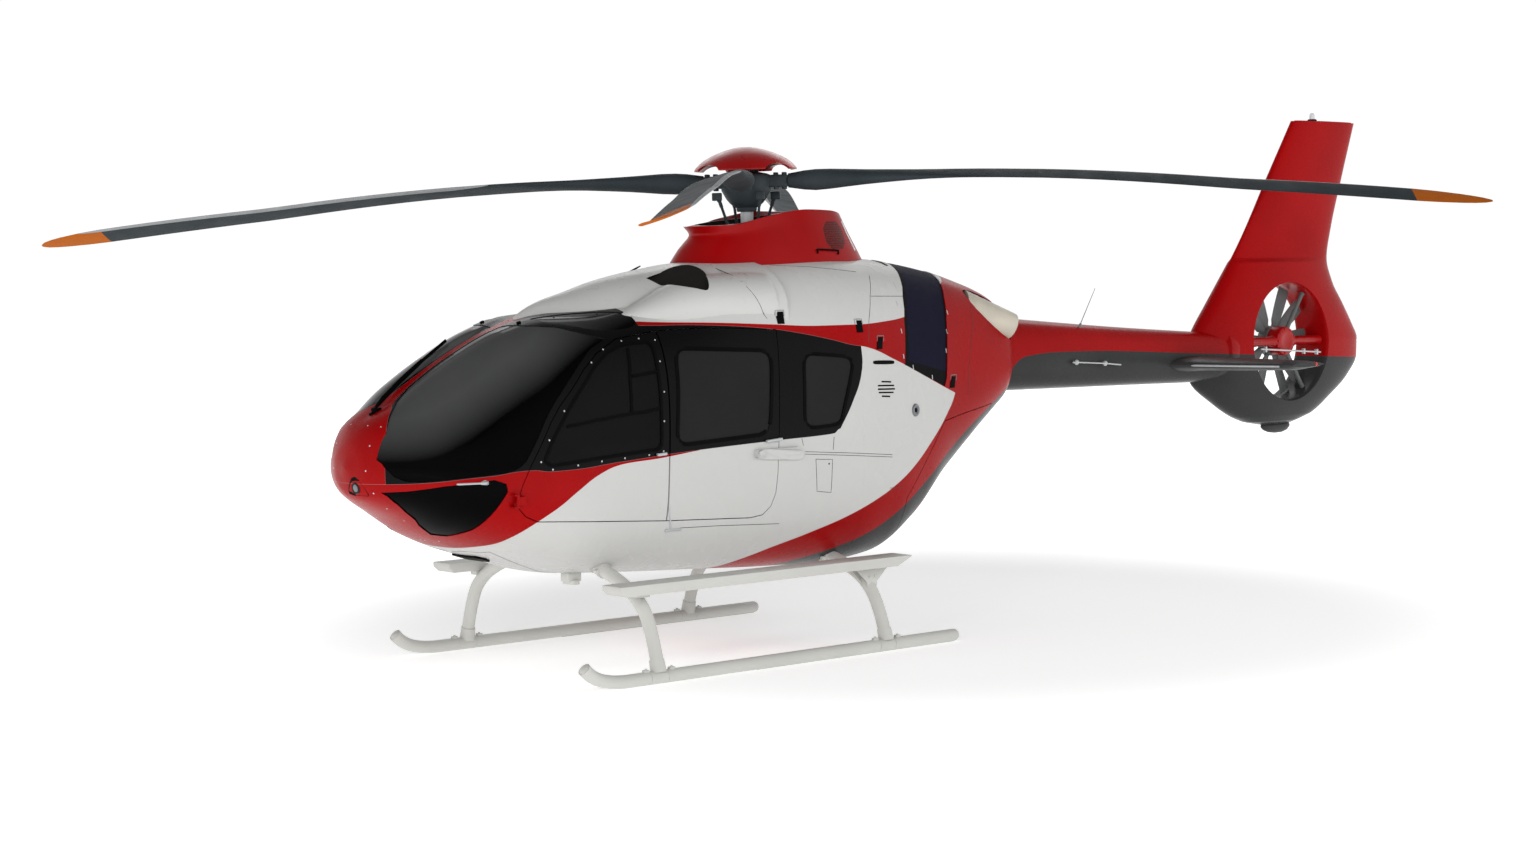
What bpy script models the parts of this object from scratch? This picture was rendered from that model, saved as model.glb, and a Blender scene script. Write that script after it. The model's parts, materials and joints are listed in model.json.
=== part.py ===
"""A light twin-engined helicopter on skids, with a four-bladed main rotor and a shrouded tail fan.

Stations are in metres, measured from the rotor mast: +X forward, +Y to the left side, +Z up, ground at 0.
Everything is then carried forward by MAST_X, so that the origin lies under the middle of the outline.
"""
import bisect
import math

import bmesh
import bpy
from mathutils import Matrix, Vector

MAST_X = 1.66410
TOUCH = 0.0003
WALL = 0.034
GLASS_DEPTH = 0.005
GLASS = 0.006
SCREEN_DEPTH = 0.006
SCREEN = 0.012
DOOR_GAP = 0.006
GLASS_GAP = 0.0006
NEAR_CENTRE = 0.004
FAR_SIDE = 1.3

# Hull sections, nose to tail: x, bottom, top, height of the widest line, half width, upper and lower power
HULL = (
    (3.350, 1.430, 1.440, 1.435, 0.010, 2.00, 2.00),
    (3.320, 1.273, 1.588, 1.423, 0.180, 2.00, 2.10),
    (3.220, 1.195, 1.730, 1.425, 0.386, 2.25, 2.15),
    (3.050, 1.095, 1.842, 1.400, 0.552, 2.30, 2.15),
    (2.850, 0.970, 1.985, 1.365, 0.687, 2.35, 2.30),
    (2.550, 0.838, 2.160, 1.335, 0.760, 2.50, 2.50),
    (2.250, 0.745, 2.298, 1.320, 0.780, 2.80, 2.70),
    (1.980, 0.665, 2.373, 1.310, 0.790, 3.10, 2.80),
    (1.600, 0.632, 2.402, 1.300, 0.790, 3.20, 2.90),
    (1.200, 0.608, 2.472, 1.300, 0.790, 3.20, 3.00),
    (0.680, 0.580, 2.658, 1.300, 0.790, 3.20, 3.00),
    (0.200, 0.553, 2.720, 1.300, 0.785, 3.20, 3.00),
    (-0.400, 0.535, 2.748, 1.310, 0.775, 3.20, 3.00),
    (-0.800, 0.560, 2.738, 1.355, 0.722, 3.00, 2.85),
    (-1.200, 0.724, 2.710, 1.465, 0.632, 2.70, 2.55),
    (-1.600, 1.034, 2.650, 1.615, 0.530, 2.45, 2.20),
    (-2.000, 1.350, 2.548, 1.767, 0.434, 2.30, 2.30),
    (-2.250, 1.522, 2.462, 1.850, 0.368, 2.30, 2.25),
    (-2.340, 1.580, 2.410, 1.890, 0.338, 2.30, 2.25),
    (-2.390, 1.632, 2.345, 1.930, 0.305, 2.40, 2.40),
    (-2.420, 1.690, 2.270, 1.970, 0.274, 2.60, 2.60),
)
HULL_STATIONS = (3.350, 3.335, 3.300, 3.220, 3.120, 2.980, 2.800, 2.550, 2.300, 2.050, 1.800, 1.500,
                 1.200, 0.900, 0.600, 0.200, -0.200, -0.500, -0.800, -1.100, -1.400, -1.700, -2.000,
                 -2.200, -2.330, -2.390, -2.420)
CAVITY_STATIONS = (3.290, 3.220, 3.120, 2.980, 2.800, 2.550, 2.300, 2.050, 1.800, 1.500, 1.200, 0.900,
                   0.600, 0.200, -0.200, -0.500, -0.800, -1.100, -1.400, -1.700, -2.000, -2.200, -2.330)
HULL_SIDES = 28
NOSE_BLUNT_FROM = 2.600
CREASE_DEPTH = 0.030
CREASE_HALF = 0.250
CREASE_FROM = 1.850
CREASE_TO = 3.270

# Hood over the controls, in front of the mast: x, bottom, top, widest height, half width, powers
HOOD = (
    (2.030, 2.200, 2.368, 2.250, 0.050, 2.0, 2.0),
    (1.650, 2.150, 2.478, 2.250, 0.260, 2.0, 2.0),
    (1.310, 2.150, 2.588, 2.250, 0.400, 2.0, 2.0),
    (0.970, 2.150, 2.664, 2.250, 0.520, 2.1, 2.0),
    (0.650, 2.150, 2.708, 2.250, 0.620, 2.3, 2.0),
    (0.200, 2.150, 2.732, 2.250, 0.700, 2.8, 2.0),
)
# Air intake bulge beside the hood: x, y of the middle, z of the middle, half width, half height
BULGE = (
    (1.480, 0.400, 2.340, 0.020, 0.015),
    (1.300, 0.410, 2.360, 0.120, 0.090),
    (1.000, 0.420, 2.400, 0.215, 0.175),
    (0.700, 0.420, 2.420, 0.250, 0.205),
    (0.300, 0.420, 2.420, 0.270, 0.225),
)

# Tail boom sections: x, bottom, top, widest height, half width, powers
BOOM = (
    (-2.420, 1.690, 2.268, 1.970, 0.272, 2.6, 2.6),
    (-2.750, 1.686, 2.240, 1.965, 0.262, 2.6, 2.6),
    (-3.900, 1.675, 2.150, 1.920, 0.215, 2.7, 2.7),
    (-5.150, 1.660, 2.070, 1.880, 0.165, 2.7, 2.7),
)
BOOM_SIDES = 20

# Fin and fan shroud, level sections: z, leading edge, trailing edge, half thickness
FIN = (
    (1.262, -5.760, -6.130, 0.060),
    (1.290, -5.575, -6.230, 0.110),
    (1.345, -5.400, -6.430, 0.145),
    (1.465, -5.160, -6.650, 0.175),
    (1.650, -4.875, -6.935, 0.190),
    (1.830, -4.800, -7.080, 0.195),
    (1.980, -4.820, -7.085, 0.195),
    (2.110, -4.900, -7.010, 0.190),
    (2.300, -5.060, -6.870, 0.180),
    (2.480, -5.210, -6.735, 0.160),
    (2.680, -5.370, -6.665, 0.125),
    (2.950, -5.570, -6.730, 0.095),
    (3.400, -5.875, -6.890, 0.080),
    (3.880, -6.200, -7.070, 0.065),
)
FIN_SIDES = 24
FAN_CENTRE = (-5.975, 0.0, 1.980)
DUCT_RADIUS = 0.500
# Duct wall, from the middle outwards: distance from the middle plane, radius beyond the duct's
DUCT_FLARE = ((0.120, 0.000), (0.150, 0.008), (0.180, 0.025), (0.300, 0.125))
FAN_RADIUS = 0.488
FAN_BLADES = 10
FAN_HUB_RADIUS = 0.130
FAN_PLANE = -0.060
# Fan blade sections: radius, chord, half thickness, pitch in degrees
FAN_BLADE = ((0.110, 0.075, 0.014, 48.0), (0.300, 0.085, 0.010, 34.0), (FAN_RADIUS, 0.090, 0.007, 24.0))
# Struts that hold the fan's gearbox: turn in degrees, radius
FAN_STRUTS = ((0.0, 0.040), (125.0, 0.020), (235.0, 0.020))
BUMPER = ((-5.790, 1.242, 0.018, 0.018), (-5.880, 1.238, 0.045, 0.042), (-6.040, 1.232, 0.045, 0.045),
          (-6.150, 1.245, 0.018, 0.018))
# Stabiliser sections: distance from the middle, leading edge, trailing edge, half thickness
STABILISER = ((0.100, -4.390, -5.150, 0.036), (1.120, -4.600, -5.080, 0.024),
              (1.180, -4.700, -5.040, 0.010))
STABILISER_Z = 1.830

ROTOR_CENTRE = (0.0, 0.0, 3.280)
ROTOR_TILT = math.radians(1.3)
ROTOR_RADIUS = 5.200
ROTOR_TURN = math.radians(45.4)
ROTOR_DROOP = 0.300
HUB_ARM = 0.300
MAST_RADIUS = 0.047
# Hub's turned outline, top to bottom: radius, height over the hub plane
HUB_PROFILE = ((0.000, 0.075), (0.090, 0.075), (0.130, 0.065), (0.180, 0.040), (0.180, -0.030), (0.160, -0.090),
               (0.120, -0.150), (0.080, -0.178), (0.072, -0.210), (MAST_RADIUS, -0.212),
               (MAST_RADIUS, -0.655), (0.000, -0.655))
# Cap's turned outline: down its outer skin, back up inside, and down the post that stands on the hub
CAP_PROFILE = ((0.000, 0.247), (0.080, 0.240), (0.200, 0.205), (0.300, 0.155), (0.355, 0.105),
               (0.368, 0.082), (0.348, 0.082), (0.335, 0.095), (0.285, 0.143), (0.190, 0.190),
               (0.060, 0.224), (0.052, 0.075 + TOUCH), (0.000, 0.075 + TOUCH))
SWASH_PROFILE = ((0.000, -0.330), (0.135, -0.330), (0.145, -0.345), (0.145, -0.385), (0.100, -0.400),
                 (0.000, -0.400))
LINK_RADIUS = 0.016
# Main blade sections: radius, chord, thickness, chordwise shift of the middle, pitch in degrees
BLADE = (
    (HUB_ARM + TOUCH, 0.150, 0.100, 0.000, 0.0),
    (0.500, 0.200, 0.150, 0.000, 4.0),
    (0.850, 0.225, 0.105, 0.000, 8.0),
    (1.150, 0.205, 0.080, 0.000, 9.0),
    (1.500, 0.260, 0.055, -0.020, 9.0),
    (1.800, 0.288, 0.034, -0.025, 9.0),
    (3.300, 0.288, 0.030, -0.025, 12.0),
    (4.700, 0.270, 0.024, -0.030, 15.5),
    (5.000, 0.200, 0.018, -0.060, 15.5),
    (5.150, 0.110, 0.012, -0.105, 15.5),
    (ROTOR_RADIUS, 0.030, 0.006, -0.145, 15.5),
)
BLADE_SIDES = 10

# Mast fairing rings: share of its height, front, back, half width
FAIRING = ((0.00, 0.680, -1.060, 0.390), (0.35, 0.600, -0.985, 0.350), (0.80, 0.515, -0.875, 0.290),
           (1.00, 0.540, -0.830, 0.270))
FAIRING_BASE = 2.640
# Height of the fairing's rim along its length
FAIRING_RIM = ((-0.90, 3.030), (-0.60, 3.075), (-0.35, 3.080), (0.05, 3.025), (0.30, 2.970),
               (0.60, 2.960))
FAIRING_SIDES = 28
WELL_CENTRE = 0.090
WELL_REACH = 0.345
WELL_HALF = 0.220

SKID_Y = 1.100
SKID_TUBE = 0.045
SKID_TIP = ((2.325, 0.170), (2.275, 0.120), (2.200, 0.078), (2.100, 0.053), (2.000, 0.0435))
SKID_REAR = -0.980
TUBE_SIDES = 12
CROSS_TUBE = 0.045
FRONT_CROSS_X = 1.720
REAR_CROSS_X = -0.290
# Half of each cross tube, foot to middle: y, z
FRONT_LEG = ((1.099, 0.075), (1.068, 0.200), (1.020, 0.340), (0.960, 0.455), (0.860, 0.545),
             (0.740, 0.610), (0.560, 0.680), (0.400, 0.725), (0.000, 0.735))
REAR_LEG = ((1.099, 0.075), (1.065, 0.190), (1.010, 0.320), (0.940, 0.425), (0.840, 0.505),
            (0.720, 0.560), (0.560, 0.610), (0.400, 0.635), (0.000, 0.640))
# Step board in side view, and the two levels of the board's sides
STEP = ((2.000, 0.645), (2.000, 0.610), (1.960, 0.575), (-0.430, 0.575), (-0.560, 0.635), (-0.560, 0.645))
STEP_INNER = 0.880
STEP_OUTER = 1.085

# Side-view outlines (x, z), read on the hull's side
SEAM_X = 1.360
REAR_SEAM_X = -0.400
# Upper and lower end of the seam between the two doors of a side
DOOR_SEAM = ((1.315, 2.258), (1.375, 1.005))
PILOT_DOOR = ((2.555, 1.220), (2.520, 1.320), (2.455, 1.440), (2.395, 1.530), (2.290, 1.700),
              (2.210, 1.800), (2.110, 1.900), (1.990, 2.020), (1.860, 2.120), (1.650, 2.215), *DOOR_SEAM,
              (2.150, 1.055), (2.390, 1.070), (2.480, 1.110), (2.535, 1.160))
PILOT_WINDOW = ((2.350, 1.460), (2.270, 1.600), (2.115, 1.810), (2.000, 1.930), (1.890, 2.040),
                (1.760, 2.125), (1.620, 2.170), (1.395, 2.185), (1.425, 1.490), (1.920, 1.460),
                (2.300, 1.430))
SLIDING_DOOR = (DOOR_SEAM[0], (0.950, 2.270), (0.345, 2.240), (0.375, 1.870), (0.395, 1.520),
                (0.410, 1.270), (0.430, 1.130), (0.470, 1.040), (0.540, 0.985),
                (0.650, 0.972), DOOR_SEAM[1])
SLIDING_WINDOW = ((1.220, 2.135), (0.430, 2.098), (0.485, 1.545), (1.288, 1.505))
QUARTER_WINDOW = ((0.130, 2.070), (-0.335, 2.030), (-0.180, 1.590), (-0.120, 1.572), (0.155, 1.560))
WINDSCREEN = ((3.400, 1.600), (3.270, 1.500), (3.245, 1.420), (3.200, 1.365), (3.110, 1.355),
              (2.860, 1.380), (2.600, 1.400), (2.505, 1.440), (2.420, 1.560), (2.320, 1.720),
              (2.235, 1.830), (2.135, 1.930), (2.015, 2.050), (1.900, 2.140), (1.700, 2.230),
              (1.700, 2.700), (3.400, 2.700))
CHIN_WINDOW = ((3.250, 1.290), (3.150, 1.300), (2.990, 1.330), (2.710, 1.360), (2.630, 1.330),
               (2.620, 1.280), (2.650, 1.230), (2.700, 1.140), (2.750, 1.040), (2.810, 0.985),
               (2.860, 0.995), (2.960, 1.060), (3.080, 1.150), (3.180, 1.230))
REAR_DOOR = ((-2.080, 1.625), (-1.670, 1.575), (-1.385, 1.530), (-0.915, 1.000), (-0.930, 0.400),
             (-2.080, 0.400))
COWL_LINE = ((SEAM_X, 2.315), (0.810, 2.300), (0.390, 2.272), (0.060, 2.230), (-0.330, 2.140),
             (REAR_SEAM_X, 2.121), (-0.470, 2.100), (-0.895, 1.953), (-1.080, 1.890), (-1.395, 1.778),
             (-1.500, 1.740), (-1.620, 1.708), (-2.370, 1.665), (-2.900, 1.660))
HOOD_SEAM = ((0.390, 2.272), (0.290, 2.500), (0.220, 2.620), (0.160, 2.720), (0.160, 3.200))
SCREEN_FRONT = ((-0.895, 1.953), (-0.920, 2.080), (-0.960, 2.260), (-1.030, 2.440), (-1.120, 2.580),
                (-1.200, 2.720), (-1.200, 3.200))
SCREEN_BACK = ((-1.395, 1.778), (-1.430, 1.840), (-1.470, 2.060), (-1.520, 2.250), (-1.590, 2.430),
               (-1.660, 2.550), (-1.720, 2.700), (-1.720, 3.200))
# Plan outlines (x, y) on the left side: the post between the windscreens, what lies behind them, the roof window
POST = ((3.600, -0.400), (3.600, 0.260), (3.270, 0.260), (3.210, 0.270), (3.130, 0.200), (3.020, 0.100),
        (2.900, 0.060), (2.700, 0.045), (1.900, 0.035), (1.900, -0.400))
BEHIND_SCREEN = ((1.000, -0.100), (2.190, -0.100), (2.180, 0.200), (2.150, 0.300), (2.070, 0.410),
                 (1.940, 0.510), (1.820, 0.575), (1.700, 0.610), (1.000, 0.610))
ROOF_WINDOW = ((2.075, 0.200), (1.960, 0.240), (1.740, 0.240), (1.570, 0.290), (1.450, 0.380),
               (1.400, 0.470), (1.420, 0.540), (1.500, 0.560), (1.700, 0.552), (1.800, 0.530),
               (1.915, 0.470), (2.030, 0.375))

# Door hinges. The pilot door's is upright; the rear door's runs along its slanted front edge.
PILOT_HINGE = (2.572, 0.778)
PILOT_HINGE_Z = (1.190, 1.250)
KNUCKLE = 0.010
ARM_INSET = 0.004
REAR_HINGE_LOW = (-0.900, 0.680, 1.000)
REAR_HINGE_HIGH = (-1.370, 0.605, 1.530)

FLOOR_TOP = 0.945
FLOOR_THICKNESS = 0.030
CEILING_THICKNESS = 0.026
DECK_END = (-2.300, 1.666)
SEAT_HALF = 0.220
SEAT_Y = 0.360
PILOT_SEAT = ((2.020, 1.200), (2.020, 1.300), (1.640, 1.260), (1.560, 1.330), (1.480, 1.980),
              (1.400, 1.990), (1.440, 1.300), (1.520, 1.180), (1.560, FLOOR_TOP + TOUCH),
              (1.900, FLOOR_TOP + TOUCH), (1.860, 1.160))
BENCH = ((0.500, 1.200), (0.500, 1.310), (0.130, 1.270), (0.060, 1.340), (-0.020, 1.950), (-0.110, 1.960),
         (-0.080, 1.320), (0.000, 1.190), (0.030, FLOOR_TOP + TOUCH), (0.380, FLOOR_TOP + TOUCH),
         (0.360, 1.160))
BENCH_HALF = 0.620
PANEL = ((2.620, FLOOR_TOP + TOUCH), (2.700, 1.300), (2.600, 1.520), (2.400, 1.500), (2.450, 1.180),
         (2.250, 1.080), (2.230, FLOOR_TOP + TOUCH))
PANEL_HALF = 0.300

GEARBOX_RADIUS = 0.230
GEARBOX_TOP = ROTOR_CENTRE[2] - 0.640
# Engine on each side: front and back of its axis (x, y, z), radius
ENGINE = ((-0.600, 0.225, 2.350), (-1.700, 0.205, 2.190), 0.165)
ENGINE_SHAFT = ((0.020, 0.100, 2.430), (-0.700, 0.215, 2.340), 0.070)
EXHAUST = ((-1.950, 0.175, 2.350), (-2.380, 0.290, 2.235))
EXHAUST_RADIUS = 0.140
EXHAUST_BORE = 0.122

# Finishes: colour, roughness, metallic, alpha
FINISHES = {
    "white_paint": ((0.72, 0.72, 0.70, 1.0), 0.25, 0.0, 1.0),
    "red_paint": ((0.55, 0.010, 0.012, 1.0), 0.25, 0.0, 1.0),
    "grey_paint": ((0.055, 0.060, 0.062, 1.0), 0.40, 0.0, 1.0),
    "gear_paint": ((0.62, 0.62, 0.58, 1.0), 0.45, 0.0, 1.0),
    "tinted_glass": ((0.012, 0.013, 0.014, 1.0), 0.06, 0.0, 0.45),
    "blade_grey": ((0.055, 0.060, 0.065, 1.0), 0.50, 0.0, 1.0),
    "hub_grey": ((0.055, 0.060, 0.062, 1.0), 0.50, 0.3, 1.0),
    "exhaust_beige": ((0.55, 0.50, 0.42, 1.0), 0.55, 0.2, 1.0),
    "intake_mesh": ((0.012, 0.013, 0.030, 1.0), 0.70, 0.1, 1.0),
    "steel": ((0.35, 0.36, 0.37, 1.0), 0.35, 0.9, 1.0),
    "black_trim": ((0.006, 0.006, 0.007, 1.0), 0.60, 0.0, 1.0),
    "seat_fabric": ((0.030, 0.032, 0.036, 1.0), 0.85, 0.0, 1.0),
}

parts = bpy.data.collections.new("helicopter")
cutters = bpy.data.collections.new("cutters")


def clear_scene():
    for obj in list(bpy.data.objects):
        bpy.data.objects.remove(obj)
    bpy.context.scene.collection.children.link(parts)
    bpy.context.scene.collection.children.link(cutters)


def finish(name):
    """The material of one kind of surface."""
    made = bpy.data.materials.get(name)
    if made:
        return made
    colour, roughness, metallic, alpha = FINISHES[name]
    made = bpy.data.materials.new(name)
    made.use_nodes = True
    shader = made.node_tree.nodes["Principled BSDF"]
    shader.inputs["Base Color"].default_value = colour
    shader.inputs["Roughness"].default_value = roughness
    shader.inputs["Metallic"].default_value = metallic
    shader.inputs["Alpha"].default_value = alpha
    return made


def add(name, mesh, finish_name):
    """A piece of the helicopter, drawn in mast stations and carried forward by MAST_X."""
    obj = bpy.data.objects.new(name, mesh)
    obj.location = (MAST_X, 0.0, 0.0)
    obj.data.materials.append(finish(finish_name))
    parts.objects.link(obj)
    return obj


def cutter(name, mesh):
    """A shape that only cuts or joins others."""
    obj = bpy.data.objects.new("cut_" + name, mesh)
    obj.location = (MAST_X, 0.0, 0.0)
    obj.hide_render = True
    obj.display_type = "WIRE"
    cutters.objects.link(obj)
    return obj


def boolean(obj, other, operation):
    modifier = obj.modifiers.new(other.name, "BOOLEAN")
    modifier.operation = operation
    modifier.object = other
    modifier.solver = "EXACT"
    return obj


def bevel(obj, width, segments):
    modifier = obj.modifiers.new("edges", "BEVEL")
    modifier.width = width
    modifier.segments = segments


def shaded(bm, name, smooth_angle=35.0):
    """The mesh of a bmesh, with outward faces, smooth but for its sharp edges."""
    bmesh.ops.recalc_face_normals(bm, faces=bm.faces)
    mesh = bpy.data.meshes.new(name)
    bm.to_mesh(mesh)
    bm.free()
    mesh.shade_smooth()
    mesh.set_sharp_from_angle(angle=math.radians(smooth_angle))
    return mesh


def loft(name, rings, smooth_angle=35.0):
    """A closed body through rings of matching points, its two ends capped. Both sides split alike."""
    bm = bmesh.new()
    rows = [[bm.verts.new(p) for p in ring] for ring in rings]
    count = len(rings[0])
    for lower, upper in zip(rows, rows[1:]):
        for k in range(count):
            a, b, c, d = lower[k], lower[(k + 1) % count], upper[(k + 1) % count], upper[k]
            if a.co.y + b.co.y + c.co.y + d.co.y > 0:
                a, b, c, d = b, c, d, a
            bm.faces.new((a, b, c))
            bm.faces.new((a, c, d))
    bm.faces.new(rows[0])
    bm.faces.new(reversed(rows[-1]))
    bmesh.ops.triangulate(bm, faces=[f for f in bm.faces if len(f.verts) > 4])
    return shaded(bm, name, smooth_angle)


def round_turns(sides):
    return [2 * math.pi * k / sides for k in range(sides)]


def slope(rows, k, column):
    """A smooth slope of one column of a table at row k."""
    def rise(i):
        return (rows[i + 1][column] - rows[i][column]) / (rows[i + 1][0] - rows[i][0])
    if k == 0:
        return rise(0)
    if k == len(rows) - 1:
        return rise(k - 1)
    before, after = rise(k - 1), rise(k)
    return 2 * before * after / (before + after) if before * after > 0 else 0.0


def read_table(table, x):
    """The columns of a table at station x, along smooth curves through its rows."""
    rows = sorted(table)
    keys = [row[0] for row in rows]
    x = min(max(x, keys[0]), keys[-1])
    i = min(max(bisect.bisect_right(keys, x) - 1, 0), len(keys) - 2)
    h = keys[i + 1] - keys[i]
    t = (x - keys[i]) / h
    found = []
    for column in range(1, len(rows[0])):
        a, b = rows[i][column], rows[i + 1][column]
        da, db = slope(rows, i, column) * h, slope(rows, i + 1, column) * h
        found.append((2 * t**3 - 3 * t**2 + 1) * a + (t**3 - 2 * t**2 + t) * da
                     + (3 * t**2 - 2 * t**3) * b + (t**3 - t**2) * db)
    return found


def signed_power(value, power):
    return math.copysign(abs(value) ** power, value)


def section(table, x, inset, sides):
    """One section of a body of the kind HULL describes, drawn in by inset: a list of (y, z)."""
    bottom, top, middle, half, n_up, n_down = read_table(table, x)
    ring = []
    for turn in round_turns(sides):
        c, s = math.cos(turn), math.sin(turn)
        n = n_up if s >= 0 else n_down
        reach = (top - middle if s >= 0 else middle - bottom) - inset
        ring.append(((half - inset) * signed_power(c, 2 / n), middle + reach * signed_power(s, 2 / n)))
    return ring


def table_loft(name, table, stations, inset, sides):
    return loft(name, [[(x, y, z) for y, z in section(table, x, inset, sides)] for x in stations])


def crease(x, y):
    """Depth of the valley between the two windscreens."""
    along = min(max((x - CREASE_FROM) / 0.25, 0.0), 1.0) * min(max((CREASE_TO - x) / 0.20, 0.0), 1.0)
    return CREASE_DEPTH * along * max(0.0, 1.0 - abs(y) / CREASE_HALF) ** 2


def hull_mesh(name, depth, stations=HULL_STATIONS):
    """The hull's surface drawn in by depth. The nose is drawn back by as much."""
    rings = []
    for x in stations:
        blunt = min(max((x - NOSE_BLUNT_FROM) / 0.5, 0.0), 1.0)
        ring = section(HULL, x + depth * blunt, depth, HULL_SIDES)
        middle = read_table(HULL, x)[2]
        rings.append([(x, y, z - (crease(x, y) if z > middle else 0.0)) for y, z in ring])
    return loft(name, rings)


def offset_outline(outline, distance):
    """The outline drawn in by distance, with mitred corners."""
    points = [Vector(p) for p in outline]
    area = sum(a.x * b.y - b.x * a.y for a, b in zip(points, points[1:] + points[:1]))
    side = 1.0 if area > 0 else -1.0
    moved = []
    for i, p in enumerate(points):
        before, after = points[i - 1], points[(i + 1) % len(points)]
        d1, d2 = (p - before).normalized(), (after - p).normalized()
        n1, n2 = Vector((-d1.y, d1.x)) * side, Vector((-d2.y, d2.x)) * side
        bisector = (n1 + n2).normalized()
        moved.append(tuple(p + bisector * (distance / max(bisector.dot(n1), 0.3))))
    return moved


def rounded(outline, radius, steps=2):
    """The outline with its corners cut by arcs."""
    points = [Vector(p) for p in outline]
    out = []
    for i, p in enumerate(points):
        before, after = points[i - 1], points[(i + 1) % len(points)]
        reach = min(radius, (before - p).length * 0.45, (after - p).length * 0.45)
        a = p + (before - p).normalized() * reach
        b = p + (after - p).normalized() * reach
        for k in range(steps + 1):
            t = k / steps
            out.append(tuple((1 - t) ** 2 * a + 2 * t * (1 - t) * p + t**2 * b))
    return out


def curve_object(name, points, dimensions):
    curve = bpy.data.curves.new(name, "CURVE")
    curve.dimensions = dimensions
    spline = curve.splines.new("POLY")
    spline.points.add(len(points) - 1)
    for point, place in zip(spline.points, points):
        point.co = (*place, 1.0)
    return bpy.data.objects.new(name, curve)


def settled_mesh(obj, matrix, smooth_angle):
    """The mesh that a curve or a modifier makes, its seams welded, moved by matrix. The object is removed."""
    cutters.objects.link(obj)
    bpy.context.view_layer.update()
    bm = bmesh.new()
    bm.from_mesh(bpy.data.meshes.new_from_object(obj.evaluated_get(bpy.context.evaluated_depsgraph_get())))
    name = obj.name
    bpy.data.objects.remove(obj)
    bmesh.ops.remove_doubles(bm, verts=bm.verts, dist=0.00001)
    bmesh.ops.transform(bm, matrix=matrix, verts=bm.verts)
    return shaded(bm, name, smooth_angle)


def prism(name, outline, low, high, view="side"):
    """An outline as a solid: (x, z) from y low to high in side view, or (x, y) from z low to high in plan."""
    obj = curve_object(name, [(a, b, 0.0) for a, b in outline], "2D")
    obj.data.splines[0].use_cyclic_u = True
    obj.data.fill_mode = "BOTH"
    obj.data.extrude = (high - low) / 2
    middle = (low + high) / 2
    if view == "side":
        matrix = Matrix.Translation((0, middle, 0)) @ Matrix.Rotation(math.pi / 2, 4, "X")
    else:
        matrix = Matrix.Translation((0, 0, middle))
    return settled_mesh(obj, matrix, 20.0)


def tube(name, path, radius, sides=TUBE_SIDES):
    """A bent tube through points, with a flat facet below where it runs level."""
    obj = curve_object(name, path, "3D")
    obj.data.bevel_depth = radius
    obj.data.bevel_resolution = (sides - 4) // 2
    obj.data.use_fill_caps = True
    for point in obj.data.splines[0].points:
        point.tilt = math.pi / sides
    return settled_mesh(obj, Matrix.Identity(4), 35.0)


def turned(name, profile, steps, centre=(0.0, 0.0, 0.0)):
    """A body turned about an upright axis, from (radius, height) pairs that start and end on the axis."""
    bm = bmesh.new()
    verts = [bm.verts.new((radius, 0.0, height)) for radius, height in profile]
    for a, b in zip(verts, verts[1:]):
        bm.edges.new((a, b))
    mesh = bpy.data.meshes.new(name)
    bm.to_mesh(mesh)
    bm.free()
    obj = bpy.data.objects.new(name, mesh)
    screw = obj.modifiers.new("turn", "SCREW")
    screw.steps = steps
    screw.render_steps = steps
    screw.use_merge_vertices = True
    screw.merge_threshold = 0.00001
    return settled_mesh(obj, Matrix.Translation(centre), 35.0)


def box(name, low, high):
    """A plain box between two corners."""
    bm = bmesh.new()
    bmesh.ops.create_cube(bm, size=1.0)
    bmesh.ops.scale(bm, vec=Vector(high) - Vector(low), verts=bm.verts)
    bmesh.ops.translate(bm, vec=(Vector(low) + Vector(high)) / 2, verts=bm.verts)
    return shaded(bm, name)


def rod(name, start, end, radius, sides):
    """A round bar from one point to another."""
    start, end = Vector(start), Vector(end)
    bm = bmesh.new()
    bmesh.ops.create_cone(bm, cap_ends=True, segments=sides, radius1=radius, radius2=radius,
                          depth=(end - start).length)
    turn = (end - start).to_track_quat("Z", "Y").to_matrix().to_4x4()
    bmesh.ops.transform(bm, matrix=Matrix.Translation((start + end) / 2) @ turn, verts=bm.verts)
    return shaded(bm, name)


def smooth_path(points, steps):
    """A smooth curve through points."""
    points = [Vector(p) for p in points]
    ends = [2 * points[0] - points[1]] + points + [2 * points[-1] - points[-2]]
    out = []
    for a, b, c, d in zip(ends, ends[1:], ends[2:], ends[3:]):
        for k in range(steps):
            t = k / steps
            out.append(0.5 * (2 * b + (c - a) * t + (2 * a - 5 * b + 4 * c - d) * t**2
                              + (3 * b - a - 3 * c + d) * t**3))
    return [tuple(p) for p in out] + [tuple(points[-1])]


def mirrored(point, side):
    return (point[0], side * point[1], point[2])


def side_name(side):
    return "left" if side > 0 else "right"


def side_cut(name, outline, side, inner=NEAR_CENTRE):
    """A cutter through one side of the hull; side is 1 on the left and -1 on the right."""
    low, high = sorted((side * inner, side * FAR_SIDE))
    return cutter(f"{name}_{side_name(side)}", prism(name, outline, low, high))


def side_box(name, low, high, side):
    """A cutter box given for the left side."""
    a, b = mirrored(low, side), mirrored(high, side)
    return cutter(name, box(name, [min(p) for p in zip(a, b)], [max(p) for p in zip(a, b)]))


def plan_cut(name, outline, side):
    """A cutter down through the roof, from a plan outline of the left side."""
    placed = [(x, side * y) for x, y in outline]
    return cutter(f"{name}_{side_name(side)}", prism(name, placed, 1.2, 3.0, "plan"))


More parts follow.
